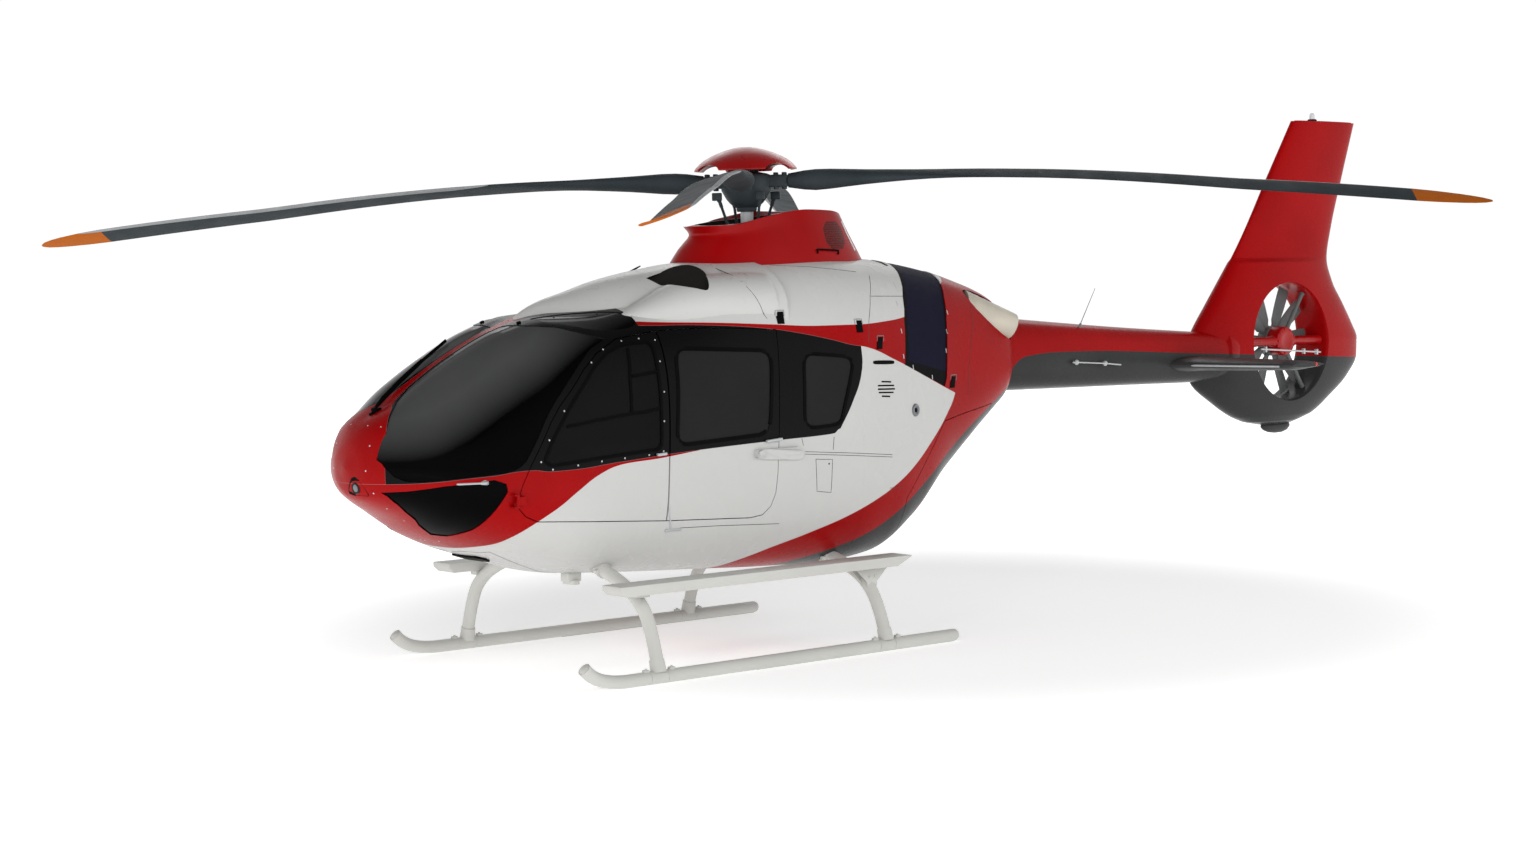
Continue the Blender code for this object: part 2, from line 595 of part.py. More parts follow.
def opening(kind, side, gap):
    """The shape of one window's opening, drawn in by gap all round."""
    if kind == "roof_window":
        return plan_cut(f"{kind}_{gap}", offset_outline(rounded(ROOF_WINDOW, 0.05), gap), side)
    shape = side_cut(f"{kind}_{gap}", offset_outline(WINDOWS[kind], gap), side, 0.030)
    if kind == "windscreen":
        boolean(shape, plan_cut(f"post_{gap}", offset_outline(POST, -gap), side), "DIFFERENCE")
        boolean(shape, plan_cut(f"behind_{gap}", offset_outline(BEHIND_SCREEN, -gap), side), "DIFFERENCE")
    return shape


def past_seam(outline, reach):
    """A door's outline carried by reach past the seam that the two doors of a side share."""
    start = outline.index(DOOR_SEAM[0])
    turned_round = [*outline[start:], *outline[:start]]
    after_top = [(x + reach, z) for x, z in DOOR_SEAM]
    if turned_round[1] == DOOR_SEAM[1]:
        return [turned_round[0], *after_top, *turned_round[1:]]
    return [*turned_round, *reversed(after_top)]


def hull_piece(name, finish_name, region, cuts):
    """A piece of the hull's wall inside a side-view region, less its cuts."""
    obj = add(name, hull_mesh(name, 0.0), finish_name)
    boolean(obj, cavity, "DIFFERENCE")
    boolean(obj, region, "INTERSECT")
    for cut in cuts:
        boolean(obj, cut, "DIFFERENCE")
    return obj


def region_of(name, outline):
    """A cutter for a region of the hull across its whole width, a touch smaller than the outline."""
    return cutter(name, prism(name, offset_outline(outline, TOUCH / 2), -FAR_SIDE, FAR_SIDE))


def pane(kind, side):
    obj = add(f"{kind}_{side_name(side)}", hull_mesh(kind, GLASS_DEPTH), "tinted_glass")
    boolean(obj, glass_back, "DIFFERENCE")
    return boolean(obj, opening(kind, side, GLASS_GAP), "INTERSECT")


def between(start, end):
    """The part of the cowl line between two stations, nose to tail."""
    return [p for p in COWL_LINE if end <= p[0] <= start]


def make_hull():
    """The hull's wall, split where its panels meet. Returns the pieces by name."""
    sides = (1, -1)
    deep = 0.2
    high = 3.2
    cabin_line = between(SEAM_X, REAR_SEAM_X)
    rear_line = between(REAR_SEAM_X, -2.900)
    regions = {
        "nose_shell": [(SEAM_X, deep), (3.600, deep), (3.600, high), (SEAM_X, high)],
        "cabin_shell": [(REAR_SEAM_X, deep), (SEAM_X, deep), *cabin_line],
        "rear_shell": [(-2.900, deep), (REAR_SEAM_X, deep), *rear_line],
        "front_cowling": [(SEAM_X, high), *between(SEAM_X, HOOD_SEAM[0][0]), *HOOD_SEAM[1:]],
        "engine_cowling": [*reversed(HOOD_SEAM), *between(HOOD_SEAM[0][0] - 0.001, SCREEN_FRONT[0][0]),
                           *SCREEN_FRONT[1:]],
        "rear_cowling": [*reversed(SCREEN_BACK), *between(SCREEN_BACK[0][0] - 0.001, -2.900), (-2.900, high)],
    }
    cuts = {name: [] for name in regions}
    cuts["nose_shell"] = [opening(kind, side, 0.0) for kind in ("windscreen", "chin_window", "roof_window")
                          for side in sides]
    cuts["nose_shell"] += [side_cut("pilot_opening", past_seam(PILOT_DOOR, -0.120), side, 0.300) for side in sides]
    cuts["nose_shell"].append(cross_seats["front"])
    cuts["cabin_shell"] = [opening("quarter_window", side, 0.0) for side in sides]
    cuts["cabin_shell"] += [side_cut("sliding_opening", past_seam(SLIDING_DOOR, 0.120), side, 0.300)
                            for side in sides]
    cuts["cabin_shell"].append(cross_seats["rear"])
    cuts["rear_shell"] = [cutter("rear_opening", prism("rear_opening", REAR_DOOR, -FAR_SIDE, FAR_SIDE))]
    mast_hole = cutter("mast_hole", rod("mast_hole", (0, 0, 2.5), (0, 0, 2.9), 0.140, 20))
    cuts["engine_cowling"] = [mast_hole]
    paint = {"nose_shell": "red_paint", "rear_cowling": "red_paint"}
    made = {name: hull_piece(name, paint.get(name, "white_paint"), region_of(name, outline), cuts[name])
            for name, outline in regions.items()}
    screen = add("intake_screen", hull_mesh("intake_screen", SCREEN_DEPTH), "intake_mesh")
    boolean(screen, cutter("screen_back", hull_mesh("screen_back", SCREEN_DEPTH + SCREEN)), "DIFFERENCE")
    foot = between(SCREEN_FRONT[0][0] - 0.001, SCREEN_BACK[0][0] + 0.001)
    outline = [*reversed(SCREEN_FRONT), *foot, *SCREEN_BACK]
    boolean(screen, region_of("intake_screen", outline), "INTERSECT")
    return made


def make_doors():
    """Door skins and their panes. Returns the moving pieces by (kind, side)."""
    moving = {}
    for side in (1, -1):
        where = side_name(side)
        pilot = hull_piece(f"pilot_door_{where}", "white_paint",
                           side_cut("pilot_door", offset_outline(PILOT_DOOR, DOOR_GAP), side, 0.300),
                           [opening("pilot_glass", side, 0.0)])
        moving["pilot", side] = [pilot, pane("pilot_glass", side)]
        sliding = hull_piece(f"sliding_door_{where}", "white_paint",
                             side_cut("sliding_door", offset_outline(SLIDING_DOOR, DOOR_GAP), side, 0.300),
                             [opening("sliding_glass", side, 0.0)])
        pane("sliding_glass", side)
        carriage = side_box(f"carriage_{where}", (0.235, 0.700, 1.385), (0.620, 0.812, 1.435), side)
        boolean(carriage, hull_seat, "DIFFERENCE")
        root = side_box(f"carriage_root_{where}", (0.440, 0.765, 1.395), (0.600, 0.800, 1.425), side)
        boolean(carriage, root, "UNION")
        boolean(sliding, carriage, "UNION")
        rear = hull_piece(f"rear_door_{where}", "red_paint",
                          side_cut("rear_door", offset_outline(REAR_DOOR, DOOR_GAP), side, DOOR_GAP / 2), [])
        moving["rear", side] = [rear]
        for kind in ("windscreen", "chin_window", "roof_window", "quarter_window"):
            pane(kind, side)
    return moving


def make_hinges(nose, pilots):
    """The pilot doors' hinges: the door's knuckle turns between two lugs on the nose."""
    x, y = PILOT_HINGE
    low, high = PILOT_HINGE_Z
    reach = 0.016
    for side in (1, -1):
        where = side_name(side)

        def join(owner, name, mesh):
            piece = cutter(f"{name}_{where}", mesh)
            piece.scale.y = side
            boolean(owner, piece, "UNION")

        door = pilots[side]
        join(door, "knuckle", rod("knuckle", (x, y, low), (x, y, high), KNUCKLE, 12))
        join(door, "knuckle_arm", box("arm", (x - 0.060, y - KNUCKLE, low + ARM_INSET),
                                      (x, y + KNUCKLE - ARM_INSET, high - ARM_INSET)))
        join(door, "knuckle_root", box("root", (x - 0.060, y - 0.040, low + ARM_INSET),
                                       (x - 0.033, y, high - ARM_INSET)))
        for name, a, b in (("lug_low", low - reach, low - TOUCH), ("lug_high", high + TOUCH, high + reach)):
            join(nose, name, rod(name, (x, y, a), (x, y, b), KNUCKLE, 12))
            join(nose, name + "_arm", box(name, (x, y - 0.045, a + ARM_INSET / 2),
                                          (x + 0.030, y + KNUCKLE - ARM_INSET, b - ARM_INSET / 2)))


def make_inside():
    deck_line = [(x, z - 0.004) for x, z in [*COWL_LINE[:-2], DECK_END]]
    deck_outline = deck_line + [(x, z - CEILING_THICKNESS - 0.004) for x, z in reversed(deck_line)]
    deck = add("cabin_ceiling", prism("cabin_ceiling", deck_outline, -1.0, 1.0), "black_trim")
    boolean(deck, cavity_seat, "INTERSECT")
    floor = add("cabin_floor", box("cabin_floor", (-1.000, -1.0, FLOOR_TOP - FLOOR_THICKNESS),
                                   (2.800, 1.0, FLOOR_TOP)), "black_trim")
    boolean(floor, cavity_seat, "INTERSECT")
    for side in (1, -1):
        y = side * SEAT_Y
        seat = add(f"pilot_seat_{side_name(side)}", prism("pilot_seat", PILOT_SEAT, y - SEAT_HALF, y + SEAT_HALF),
                   "seat_fabric")
        bevel(seat, 0.018, 1)
    bevel(add("rear_bench", prism("rear_bench", BENCH, -BENCH_HALF, BENCH_HALF), "seat_fabric"), 0.018, 1)
    panel = prism("instrument_panel", PANEL, -PANEL_HALF, PANEL_HALF)
    bevel(add("instrument_panel", panel, "black_trim"), 0.015, 1)


def make_powerplant():
    """Main gearbox under the mast and the two engines behind it, as one block on the engine deck."""
    gearbox = rod("powerplant", (0.020, 0, 2.270), (0.020, 0, GEARBOX_TOP), GEARBOX_RADIUS, 20)
    block = add("powerplant", gearbox, "steel")
    for side in (1, -1):
        for name, (front, back, radius) in (("engine", ENGINE), ("engine_shaft", ENGINE_SHAFT)):
            piece = rod(name, mirrored(front, side), mirrored(back, side), radius, 16)
            boolean(block, cutter(f"{name}_{side_name(side)}", piece), "UNION")
    deck_seat = [(x, z - 0.004 + TOUCH) for x, z in COWL_LINE]
    below = cutter("below_deck", prism("below_deck", deck_seat + [(-2.9, 1.0), (SEAM_X, 1.0)], -1.0, 1.0))
    foot = cutter("engine_foot", box("engine_foot", (-1.500, -0.300, 1.650), (0.150, 0.300, 2.250)))
    boolean(block, foot, "UNION")
    boolean(block, below, "DIFFERENCE")
    return block


def make_exhausts(cowling):
    for side in (1, -1):
        where = side_name(side)
        start, end = Vector(mirrored(EXHAUST[0], side)), Vector(mirrored(EXHAUST[1], side))
        pipe = add(f"exhaust_{where}", rod("exhaust", start, end, EXHAUST_RADIUS, 20), "exhaust_beige")
        bore = rod("exhaust_bore", start.lerp(end, 0.06), start.lerp(end, 1.1), EXHAUST_BORE, 20)
        boolean(pipe, cutter(f"exhaust_bore_{where}", bore), "DIFFERENCE")
        seat = rod("exhaust_seat", start.lerp(end, -0.1), start.lerp(end, 1.3), EXHAUST_RADIUS + TOUCH, 20)
        boolean(cowling, cutter(f"exhaust_seat_{where}", seat), "DIFFERENCE")


def make_hood():
    hood = add("roof_hood", table_loft("roof_hood", HOOD, [row[0] for row in HOOD], 0.0, 24), "white_paint")
    for side in (1, -1):
        rings = [[(x, side * (y + half * math.cos(t)), z + tall * math.sin(t)) for t in round_turns(14)]
                 for x, y, z, half, tall in BULGE]
        boolean(hood, cutter(f"bulge_{side_name(side)}", loft("bulge", rings)), "UNION")
    boolean(hood, hull_seat, "DIFFERENCE")
    return hood


def rim_height(x):
    rows = FAIRING_RIM
    x = min(max(x, rows[0][0]), rows[-1][0])
    return read_table(rows, x)[0]


def make_mast_fairing(hood):
    """The red collar round the mast, open at the top over the controls."""
    rings = []
    for share, front, back, half in FAIRING:
        middle, reach = (front + back) / 2, (front - back) / 2
        ring = []
        for turn in round_turns(FAIRING_SIDES):
            x = middle + reach * signed_power(math.cos(turn), 0.85)
            y = half * signed_power(math.sin(turn), 0.85)
            ring.append((x, y, FAIRING_BASE + share * (rim_height(x) - FAIRING_BASE)))
        rings.append(ring)
    fairing = add("mast_fairing", loft("mast_fairing", rings, 30), "red_paint")
    boolean(fairing, hull_seat, "DIFFERENCE")
    stations = [*[row[0] for row in HOOD[:-1]], HOOD[-1][0] - TOUCH]
    seat = cutter("hood_seat", table_loft("hood_seat", HOOD, stations, -TOUCH, 24))
    boolean(fairing, seat, "DIFFERENCE")
    well = rod("well", (0, 0, 2.5), (0, 0, 3.3), 1.0, 24)
    well.transform(Matrix.Translation((WELL_CENTRE, 0, 0)) @ Matrix.Diagonal((WELL_REACH, WELL_HALF, 1, 1)))
    boolean(fairing, cutter("well", well), "DIFFERENCE")


def fin_rings(grow):
    rings = []
    for z, lead, trail, half in FIN:
        middle, reach = (lead + trail) / 2, (lead - trail) / 2 + grow
        rings.append([(middle + reach * signed_power(math.cos(t), 0.9),
                       (half + grow) * signed_power(math.sin(t), 0.9), z) for t in round_turns(FIN_SIDES)])
    return rings


def make_tail():
    stations = [BOOM[0][0] - TOUCH, *[row[0] for row in BOOM[1:]]]
    add("tail_boom", table_loft("tail_boom", BOOM, stations, 0.0, BOOM_SIDES), "red_paint")
    past = stations[:-1] + [stations[-1] - TOUCH]
    boom_seat = cutter("boom_seat", table_loft("boom_seat", BOOM, past, -TOUCH, BOOM_SIDES))
    fin = add("tail_fin", loft("tail_fin", fin_rings(0.0)), "red_paint")
    cx, cy, cz = FAN_CENTRE
    flares = [(-y, flare) for y, flare in reversed(DUCT_FLARE)] + list(DUCT_FLARE)
    rings = [[(cx + (DUCT_RADIUS + flare) * math.cos(t), cy + y, cz + (DUCT_RADIUS + flare) * math.sin(t))
              for t in round_turns(40)] for y, flare in flares]
    boolean(fin, cutter("duct", loft("duct", rings)), "DIFFERENCE")
    boolean(fin, boom_seat, "DIFFERENCE")
    rings = [[(x, half * math.cos(t), z + drop * math.sin(t)) for t in round_turns(12)] for x, z, half, drop in BUMPER]
    bumper = add("tail_bumper", loft("tail_bumper", rings), "grey_paint")
    boolean(bumper, cutter("bumper_top", box("bumper_top", (-6.3, -0.2, FIN[0][0] - TOUCH), (-5.6, 0.2, 1.4))),
            "DIFFERENCE")
    fin_seat = cutter("fin_seat", loft("fin_seat", fin_rings(2 * TOUCH)))
    for side in (1, -1):
        rings = []
        for y, lead, trail, thick in STABILISER:
            middle, reach = (lead + trail) / 2, (lead - trail) / 2
            rings.append([(middle + reach * math.cos(t), side * y,
                           STABILISER_Z + thick * signed_power(math.sin(t), 0.8)) for t in round_turns(16)])
        wing = add(f"stabiliser_{side_name(side)}", loft("stabiliser", rings), "grey_paint")
        boolean(wing, boom_seat, "DIFFERENCE")
        boolean(wing, fin_seat, "DIFFERENCE")


def make_fan():
    """The fan's rotor, and its gearbox with the struts that hold it in the duct. Returns the rotor."""
    centre = Vector(FAN_CENTRE)
    across = Vector((0, 1, 0))
    hub = add("fan_rotor", rod("fan_rotor", centre + across * (FAN_PLANE - 0.050), centre - across * TOUCH,
                               FAN_HUB_RADIUS, 24), "hub_grey")
    for k in range(FAN_BLADES):
        turn = 2 * math.pi * k / FAN_BLADES + 0.12 * math.sin(2.4 * k)
        out = Vector((math.cos(turn), 0, math.sin(turn)))
        along = Vector((-math.sin(turn), 0, math.cos(turn)))
        rings = []
        for radius, chord, thick, pitch in FAN_BLADE:
            lean = math.radians(pitch)
            chord_way = along * math.cos(lean) + across * math.sin(lean)
            flat_way = out.cross(chord_way)
            middle = centre + across * FAN_PLANE + out * radius
            rings.append([tuple(middle + chord_way * (chord / 2 * math.cos(t)) + flat_way * (thick * math.sin(t)))
                          for t in round_turns(6)])
        boolean(hub, cutter(f"fan_blade_{k}", loft("fan_blade", rings)), "UNION")
    gearbox = add("fan_gearbox", rod("fan_gearbox", centre, centre + across * 0.125, 0.125, 24), "red_paint")
    for k, (turn, radius) in enumerate(FAN_STRUTS):
        out = Vector((math.cos(math.radians(turn)), 0, math.sin(math.radians(turn))))
        base = centre + across * 0.065
        strut = rod("strut", base + out * 0.05, base + out * (DUCT_RADIUS + 0.03), radius, 12)
        boolean(gearbox, cutter(f"strut_{k}", strut), "UNION")
    rim = rod("rim", centre - across * 0.2, centre + across * 0.2, DUCT_RADIUS - TOUCH, 40)
    boolean(gearbox, cutter("rim", rim), "INTERSECT")
    return hub


def blade_height(radius):
    """Height of a blade's middle line over the hub plane, for its droop at rest."""
    reach = max(radius - 0.5, 0.0) / (ROTOR_RADIUS - 0.5)
    return 0.03 * math.sin(math.pi * min(reach * 1.6, 1.0)) - ROTOR_DROOP * reach**1.9


def blade_mesh(name, turn):
    """One main blade in the rotor's own frame, its leading edge on the side it turns towards."""
    out = Vector((math.cos(turn), math.sin(turn), 0.0))
    ahead = Vector((-math.sin(turn), math.cos(turn), 0.0))
    up = Vector((0, 0, 1))
    rings = []
    for radius, chord, thick, shift, pitch in BLADE:
        lean = math.radians(pitch)
        chord_way = ahead * math.cos(lean) + up * math.sin(lean)
        flat_way = out.cross(chord_way)
        centre = out * radius + up * blade_height(radius) + ahead * shift
        rings.append([tuple(centre + chord_way * (chord / 2 * math.cos(t))
                            + flat_way * (thick / 2 * signed_power(math.sin(t), 0.9) * (0.75 + 0.25 * math.cos(t))))
                      for t in round_turns(BLADE_SIDES)])
    return loft(name, rings, 50)


def make_rotor(pivot, gearbox):
    """Hub, cap, swashplate with its links, and four blades, all in the frame of the tilted mast."""
    def mount(obj):
        obj.location = (0.0, 0.0, 0.0)
        obj.parent = pivot
        return obj

    hub = mount(add("rotor_hub", turned("rotor_hub", HUB_PROFILE, 24), "hub_grey"))
    swash = mount(add("swashplate", turned("swashplate", SWASH_PROFILE, 20), "hub_grey"))
    mount(add("rotor_cap", turned("rotor_cap", CAP_PROFILE, 28), "red_paint"))
    mast_seat = mount(cutter("mast_seat", rod("mast_seat", (0, 0, HUB_PROFILE[-1][1] - TOUCH), (0, 0, -0.2),
                                              MAST_RADIUS + TOUCH, 24)))
    for k in range(4):
        turn = ROTOR_TURN + k * math.pi / 2
        out = Vector((math.cos(turn), math.sin(turn), 0.0))
        side_way = Vector((-math.sin(turn), math.cos(turn), 0.0))
        arm = box("hub_arm", (0.100, -0.060, -0.042), (HUB_ARM, 0.060, 0.042))
        arm.transform(Matrix.Rotation(turn, 4, "Z"))
        boolean(hub, mount(cutter(f"hub_arm_{k}", arm)), "UNION")
        link = rod("link", out * 0.110 + side_way * 0.075 + Vector((0, 0, -0.370)),
                   out * 0.200 + side_way * 0.115 + Vector((0, 0, -0.080)), LINK_RADIUS, 8)
        boolean(swash, mount(cutter(f"link_{k}", link)), "UNION")
        mount(add(f"rotor_blade_{k + 1}", blade_mesh("rotor_blade", turn), "blade_grey"))
    boolean(swash, mast_seat, "DIFFERENCE")
    boolean(gearbox, mast_seat, "DIFFERENCE")


def cross_path(x, leg):
    half = smooth_path([(x, y, z) for y, z in leg], 1)
    return half + [(x, -y, z) for x, y, z in reversed(half[:-1])]


def make_gear():
    axis = SKID_TUBE * math.cos(math.pi / TUBE_SIDES)
    seats = []
    for side in (1, -1):
        where = side_name(side)
        y = side * SKID_Y
        path = [(x, y, z) for x, z in SKID_TIP[:-1]] + [(SKID_TIP[-1][0], y, axis), (SKID_REAR, y, axis)]
        add(f"skid_{where}", tube("skid", path, SKID_TUBE), "gear_paint")
        seats.append(cutter(f"skid_seat_{where}", tube("skid_seat", [(2.0, y, axis), (SKID_REAR, y, axis)],
                                                       SKID_TUBE + TOUCH)))
        step = add(f"step_{where}", prism("step", STEP, *sorted((side * STEP_INNER, side * STEP_OUTER))), "gear_paint")
        for name, x, depth in (("front", FRONT_CROSS_X, 0.500), ("rear", REAR_CROSS_X, 0.450)):
            low, high = sorted((side * (STEP_INNER + 0.010), side * (STEP_OUTER - 0.060)))
            bracket = cutter(f"step_bracket_{name}_{where}", box("step_bracket", (x - 0.030, low, depth),
                                                                 (x + 0.030, high, 0.600)))
            boolean(step, bracket, "UNION")
            boolean(step, cross_seats[name], "DIFFERENCE")
    for name, x, leg in (("front", FRONT_CROSS_X, FRONT_LEG), ("rear", REAR_CROSS_X, REAR_LEG)):
        crossing = add(f"cross_tube_{name}", tube("cross_tube", cross_path(x, leg), CROSS_TUBE), "gear_paint")
        for seat in seats:
            boolean(crossing, seat, "DIFFERENCE")


def hinge_pivot(name, place, direction):
    """An empty on a joint's axis, its Z along the axis."""
    empty = bpy.data.objects.new(name, None)
    empty.empty_display_size = 0.2
    empty.matrix_world = (Matrix.Translation(Vector(place) + Vector((MAST_X, 0, 0)))
                          @ Vector(direction).to_track_quat("Z", "Y").to_matrix().to_4x4())
    parts.objects.link(empty)
    return empty


def hang(pieces, pivot):
    for piece in pieces:
        piece.parent = pivot
        piece.matrix_parent_inverse = pivot.matrix_world.inverted()


WINDOWS = {
    "windscreen": rounded(WINDSCREEN, 0.03, 1),
    "chin_window": CHIN_WINDOW,
    "quarter_window": rounded(QUARTER_WINDOW, 0.05),
    "pilot_glass": rounded(PILOT_WINDOW, 0.04, 1),
    "sliding_glass": rounded(SLIDING_WINDOW, 0.06),
}
clear_scene()
cavity = cutter("cavity", hull_mesh("cavity", WALL, CAVITY_STATIONS))
cavity_seat = cutter("cavity_seat", hull_mesh("cavity_seat", WALL + TOUCH, CAVITY_STATIONS))
glass_back = cutter("glass_back", hull_mesh("glass_back", GLASS_DEPTH + GLASS))
hull_seat = cutter("hull_seat", hull_mesh("hull_seat", -TOUCH))
cross_seats = {name: cutter(f"cross_seat_{name}", tube("cross_seat", cross_path(x, leg), CROSS_TUBE + TOUCH))
               for name, x, leg in (("front", FRONT_CROSS_X, FRONT_LEG), ("rear", REAR_CROSS_X, REAR_LEG))}
shells = make_hull()
doors = make_doors()
make_hinges(shells["nose_shell"], {side: doors["pilot", side][0] for side in (1, -1)})
make_inside()
powerplant = make_powerplant()
make_exhausts(shells["rear_cowling"])
make_mast_fairing(make_hood())
make_tail()
hang([make_fan()], hinge_pivot("fan_axis", FAN_CENTRE, (0, 1, 0)))
rotor_axis = hinge_pivot("rotor_axis", ROTOR_CENTRE, (math.sin(ROTOR_TILT), 0.0, math.cos(ROTOR_TILT)))
rotor_axis.matrix_world = Matrix.Translation(rotor_axis.matrix_world.translation) @ Matrix.Rotation(ROTOR_TILT, 4, "Y")
make_rotor(rotor_axis, powerplant)
make_gear()
for side in (1, -1):
    where = side_name(side)
    hang(doors["pilot", side], hinge_pivot(f"pilot_door_axis_{where}", (PILOT_HINGE[0], side * PILOT_HINGE[1], 1.2),
                                           (0, 0, -side)))
    low, high = Vector(mirrored(REAR_HINGE_LOW, side)), Vector(mirrored(REAR_HINGE_HIGH, side))
    hang(doors["rear", side], hinge_pivot(f"rear_door_axis_{where}", low, side * (low - high)))
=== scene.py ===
"""Studio view of the helicopter: smooth skins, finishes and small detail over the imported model."""
import bisect
import json
import math

import bmesh
import bpy
from mathutils import Matrix, Vector
from mathutils.bvhtree import BVHTree
from mathutils.geometry import barycentric_transform


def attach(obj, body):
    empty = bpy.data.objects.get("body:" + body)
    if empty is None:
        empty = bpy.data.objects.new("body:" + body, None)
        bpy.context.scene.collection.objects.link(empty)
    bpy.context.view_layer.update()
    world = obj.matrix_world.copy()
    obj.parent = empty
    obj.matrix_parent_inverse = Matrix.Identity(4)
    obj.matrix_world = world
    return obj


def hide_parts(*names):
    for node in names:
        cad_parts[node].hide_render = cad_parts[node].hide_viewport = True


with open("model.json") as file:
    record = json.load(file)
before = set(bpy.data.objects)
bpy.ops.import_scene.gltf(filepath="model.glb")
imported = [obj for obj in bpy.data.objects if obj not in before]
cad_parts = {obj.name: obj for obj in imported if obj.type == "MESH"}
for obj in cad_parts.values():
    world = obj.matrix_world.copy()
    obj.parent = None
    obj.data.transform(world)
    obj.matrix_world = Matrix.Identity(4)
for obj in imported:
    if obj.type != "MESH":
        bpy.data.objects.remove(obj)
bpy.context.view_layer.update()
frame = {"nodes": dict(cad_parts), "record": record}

nodes = frame["nodes"]
record = frame["record"]
body_of = {node: body for body, names in record["behaviour"]["bodies"].items() for node in names}
MAST_X = 1.66410
WALL = 0.034

# The tables below repeat the part's own, in metres from the mast
HULL = (
    (3.350, 1.430, 1.440, 1.435, 0.010, 2.00, 2.00),
    (3.320, 1.273, 1.588, 1.423, 0.180, 2.00, 2.10),
    (3.220, 1.195, 1.730, 1.425, 0.386, 2.25, 2.15),
    (3.050, 1.095, 1.842, 1.400, 0.552, 2.30, 2.15),
    (2.850, 0.970, 1.985, 1.365, 0.687, 2.35, 2.30),
    (2.550, 0.838, 2.160, 1.335, 0.760, 2.50, 2.50),
    (2.250, 0.745, 2.298, 1.320, 0.780, 2.80, 2.70),
    (1.980, 0.665, 2.373, 1.310, 0.790, 3.10, 2.80),
    (1.600, 0.632, 2.402, 1.300, 0.790, 3.20, 2.90),
    (1.200, 0.608, 2.472, 1.300, 0.790, 3.20, 3.00),
    (0.680, 0.580, 2.658, 1.300, 0.790, 3.20, 3.00),
    (0.200, 0.553, 2.720, 1.300, 0.785, 3.20, 3.00),
    (-0.400, 0.535, 2.748, 1.310, 0.775, 3.20, 3.00),
    (-0.800, 0.560, 2.738, 1.355, 0.722, 3.00, 2.85),
    (-1.200, 0.724, 2.710, 1.465, 0.632, 2.70, 2.55),
    (-1.600, 1.034, 2.650, 1.615, 0.530, 2.45, 2.20),
    (-2.000, 1.350, 2.548, 1.767, 0.434, 2.30, 2.30),
    (-2.250, 1.522, 2.462, 1.850, 0.368, 2.30, 2.25),
    (-2.340, 1.580, 2.410, 1.890, 0.338, 2.30, 2.25),
    (-2.390, 1.632, 2.345, 1.930, 0.305, 2.40, 2.40),
    (-2.420, 1.690, 2.270, 1.970, 0.274, 2.60, 2.60),
)
HULL_STATIONS = (3.350, 3.335, 3.300, 3.220, 3.120, 2.980, 2.800, 2.550, 2.300, 2.050, 1.800, 1.500,
                 1.200, 0.900, 0.600, 0.200, -0.200, -0.500, -0.800, -1.100, -1.400, -1.700, -2.000,
                 -2.200, -2.330, -2.390, -2.420)
HULL_SIDES = 28
CREASE_DEPTH = 0.030
CREASE_HALF = 0.250
CREASE_FROM = 1.850
CREASE_TO = 3.270
HOOD = (
    (2.030, 2.200, 2.368, 2.250, 0.050, 2.0, 2.0),
    (1.650, 2.150, 2.478, 2.250, 0.260, 2.0, 2.0),
    (1.310, 2.150, 2.588, 2.250, 0.400, 2.0, 2.0),
    (0.970, 2.150, 2.664, 2.250, 0.520, 2.1, 2.0),
    (0.650, 2.150, 2.708, 2.250, 0.620, 2.3, 2.0),
    (0.200, 2.150, 2.732, 2.250, 0.700, 2.8, 2.0),
)
BULGE = (
    (1.480, 0.400, 2.340, 0.020, 0.015),
    (1.300, 0.410, 2.360, 0.120, 0.090),
    (1.000, 0.420, 2.400, 0.215, 0.175),
    (0.700, 0.420, 2.420, 0.250, 0.205),
    (0.300, 0.420, 2.420, 0.270, 0.225),
)
BOOM = (
    (-2.420, 1.690, 2.268, 1.970, 0.272, 2.6, 2.6),
    (-2.750, 1.686, 2.240, 1.965, 0.262, 2.6, 2.6),
    (-3.900, 1.675, 2.150, 1.920, 0.215, 2.7, 2.7),
    (-5.150, 1.660, 2.070, 1.880, 0.165, 2.7, 2.7),
)
FIN = (
    (1.262, -5.760, -6.130, 0.060),
    (1.290, -5.575, -6.230, 0.110),
    (1.345, -5.400, -6.430, 0.145),
    (1.465, -5.160, -6.650, 0.175),
    (1.650, -4.875, -6.935, 0.190),
    (1.830, -4.800, -7.080, 0.195),
    (1.980, -4.820, -7.085, 0.195),
    (2.110, -4.900, -7.010, 0.190),
    (2.300, -5.060, -6.870, 0.180),
    (2.480, -5.210, -6.735, 0.160),
    (2.680, -5.370, -6.665, 0.125),
    (2.950, -5.570, -6.730, 0.095),
    (3.400, -5.875, -6.890, 0.080),
    (3.880, -6.200, -7.070, 0.065),
)
FAN_CENTRE = (-5.975, 0.0, 1.980)
DUCT_RADIUS = 0.500
STABILISER = ((0.100, -4.390, -5.150, 0.036), (1.120, -4.600, -5.080, 0.024),
              (1.180, -4.700, -5.040, 0.010))
STABILISER_Z = 1.830
ROTOR_CENTRE = (0.0, 0.0, 3.280)
ROTOR_TILT = math.radians(1.3)
ROTOR_RADIUS = 5.200
ROTOR_TURN = math.radians(45.4)
ROTOR_DROOP = 0.300
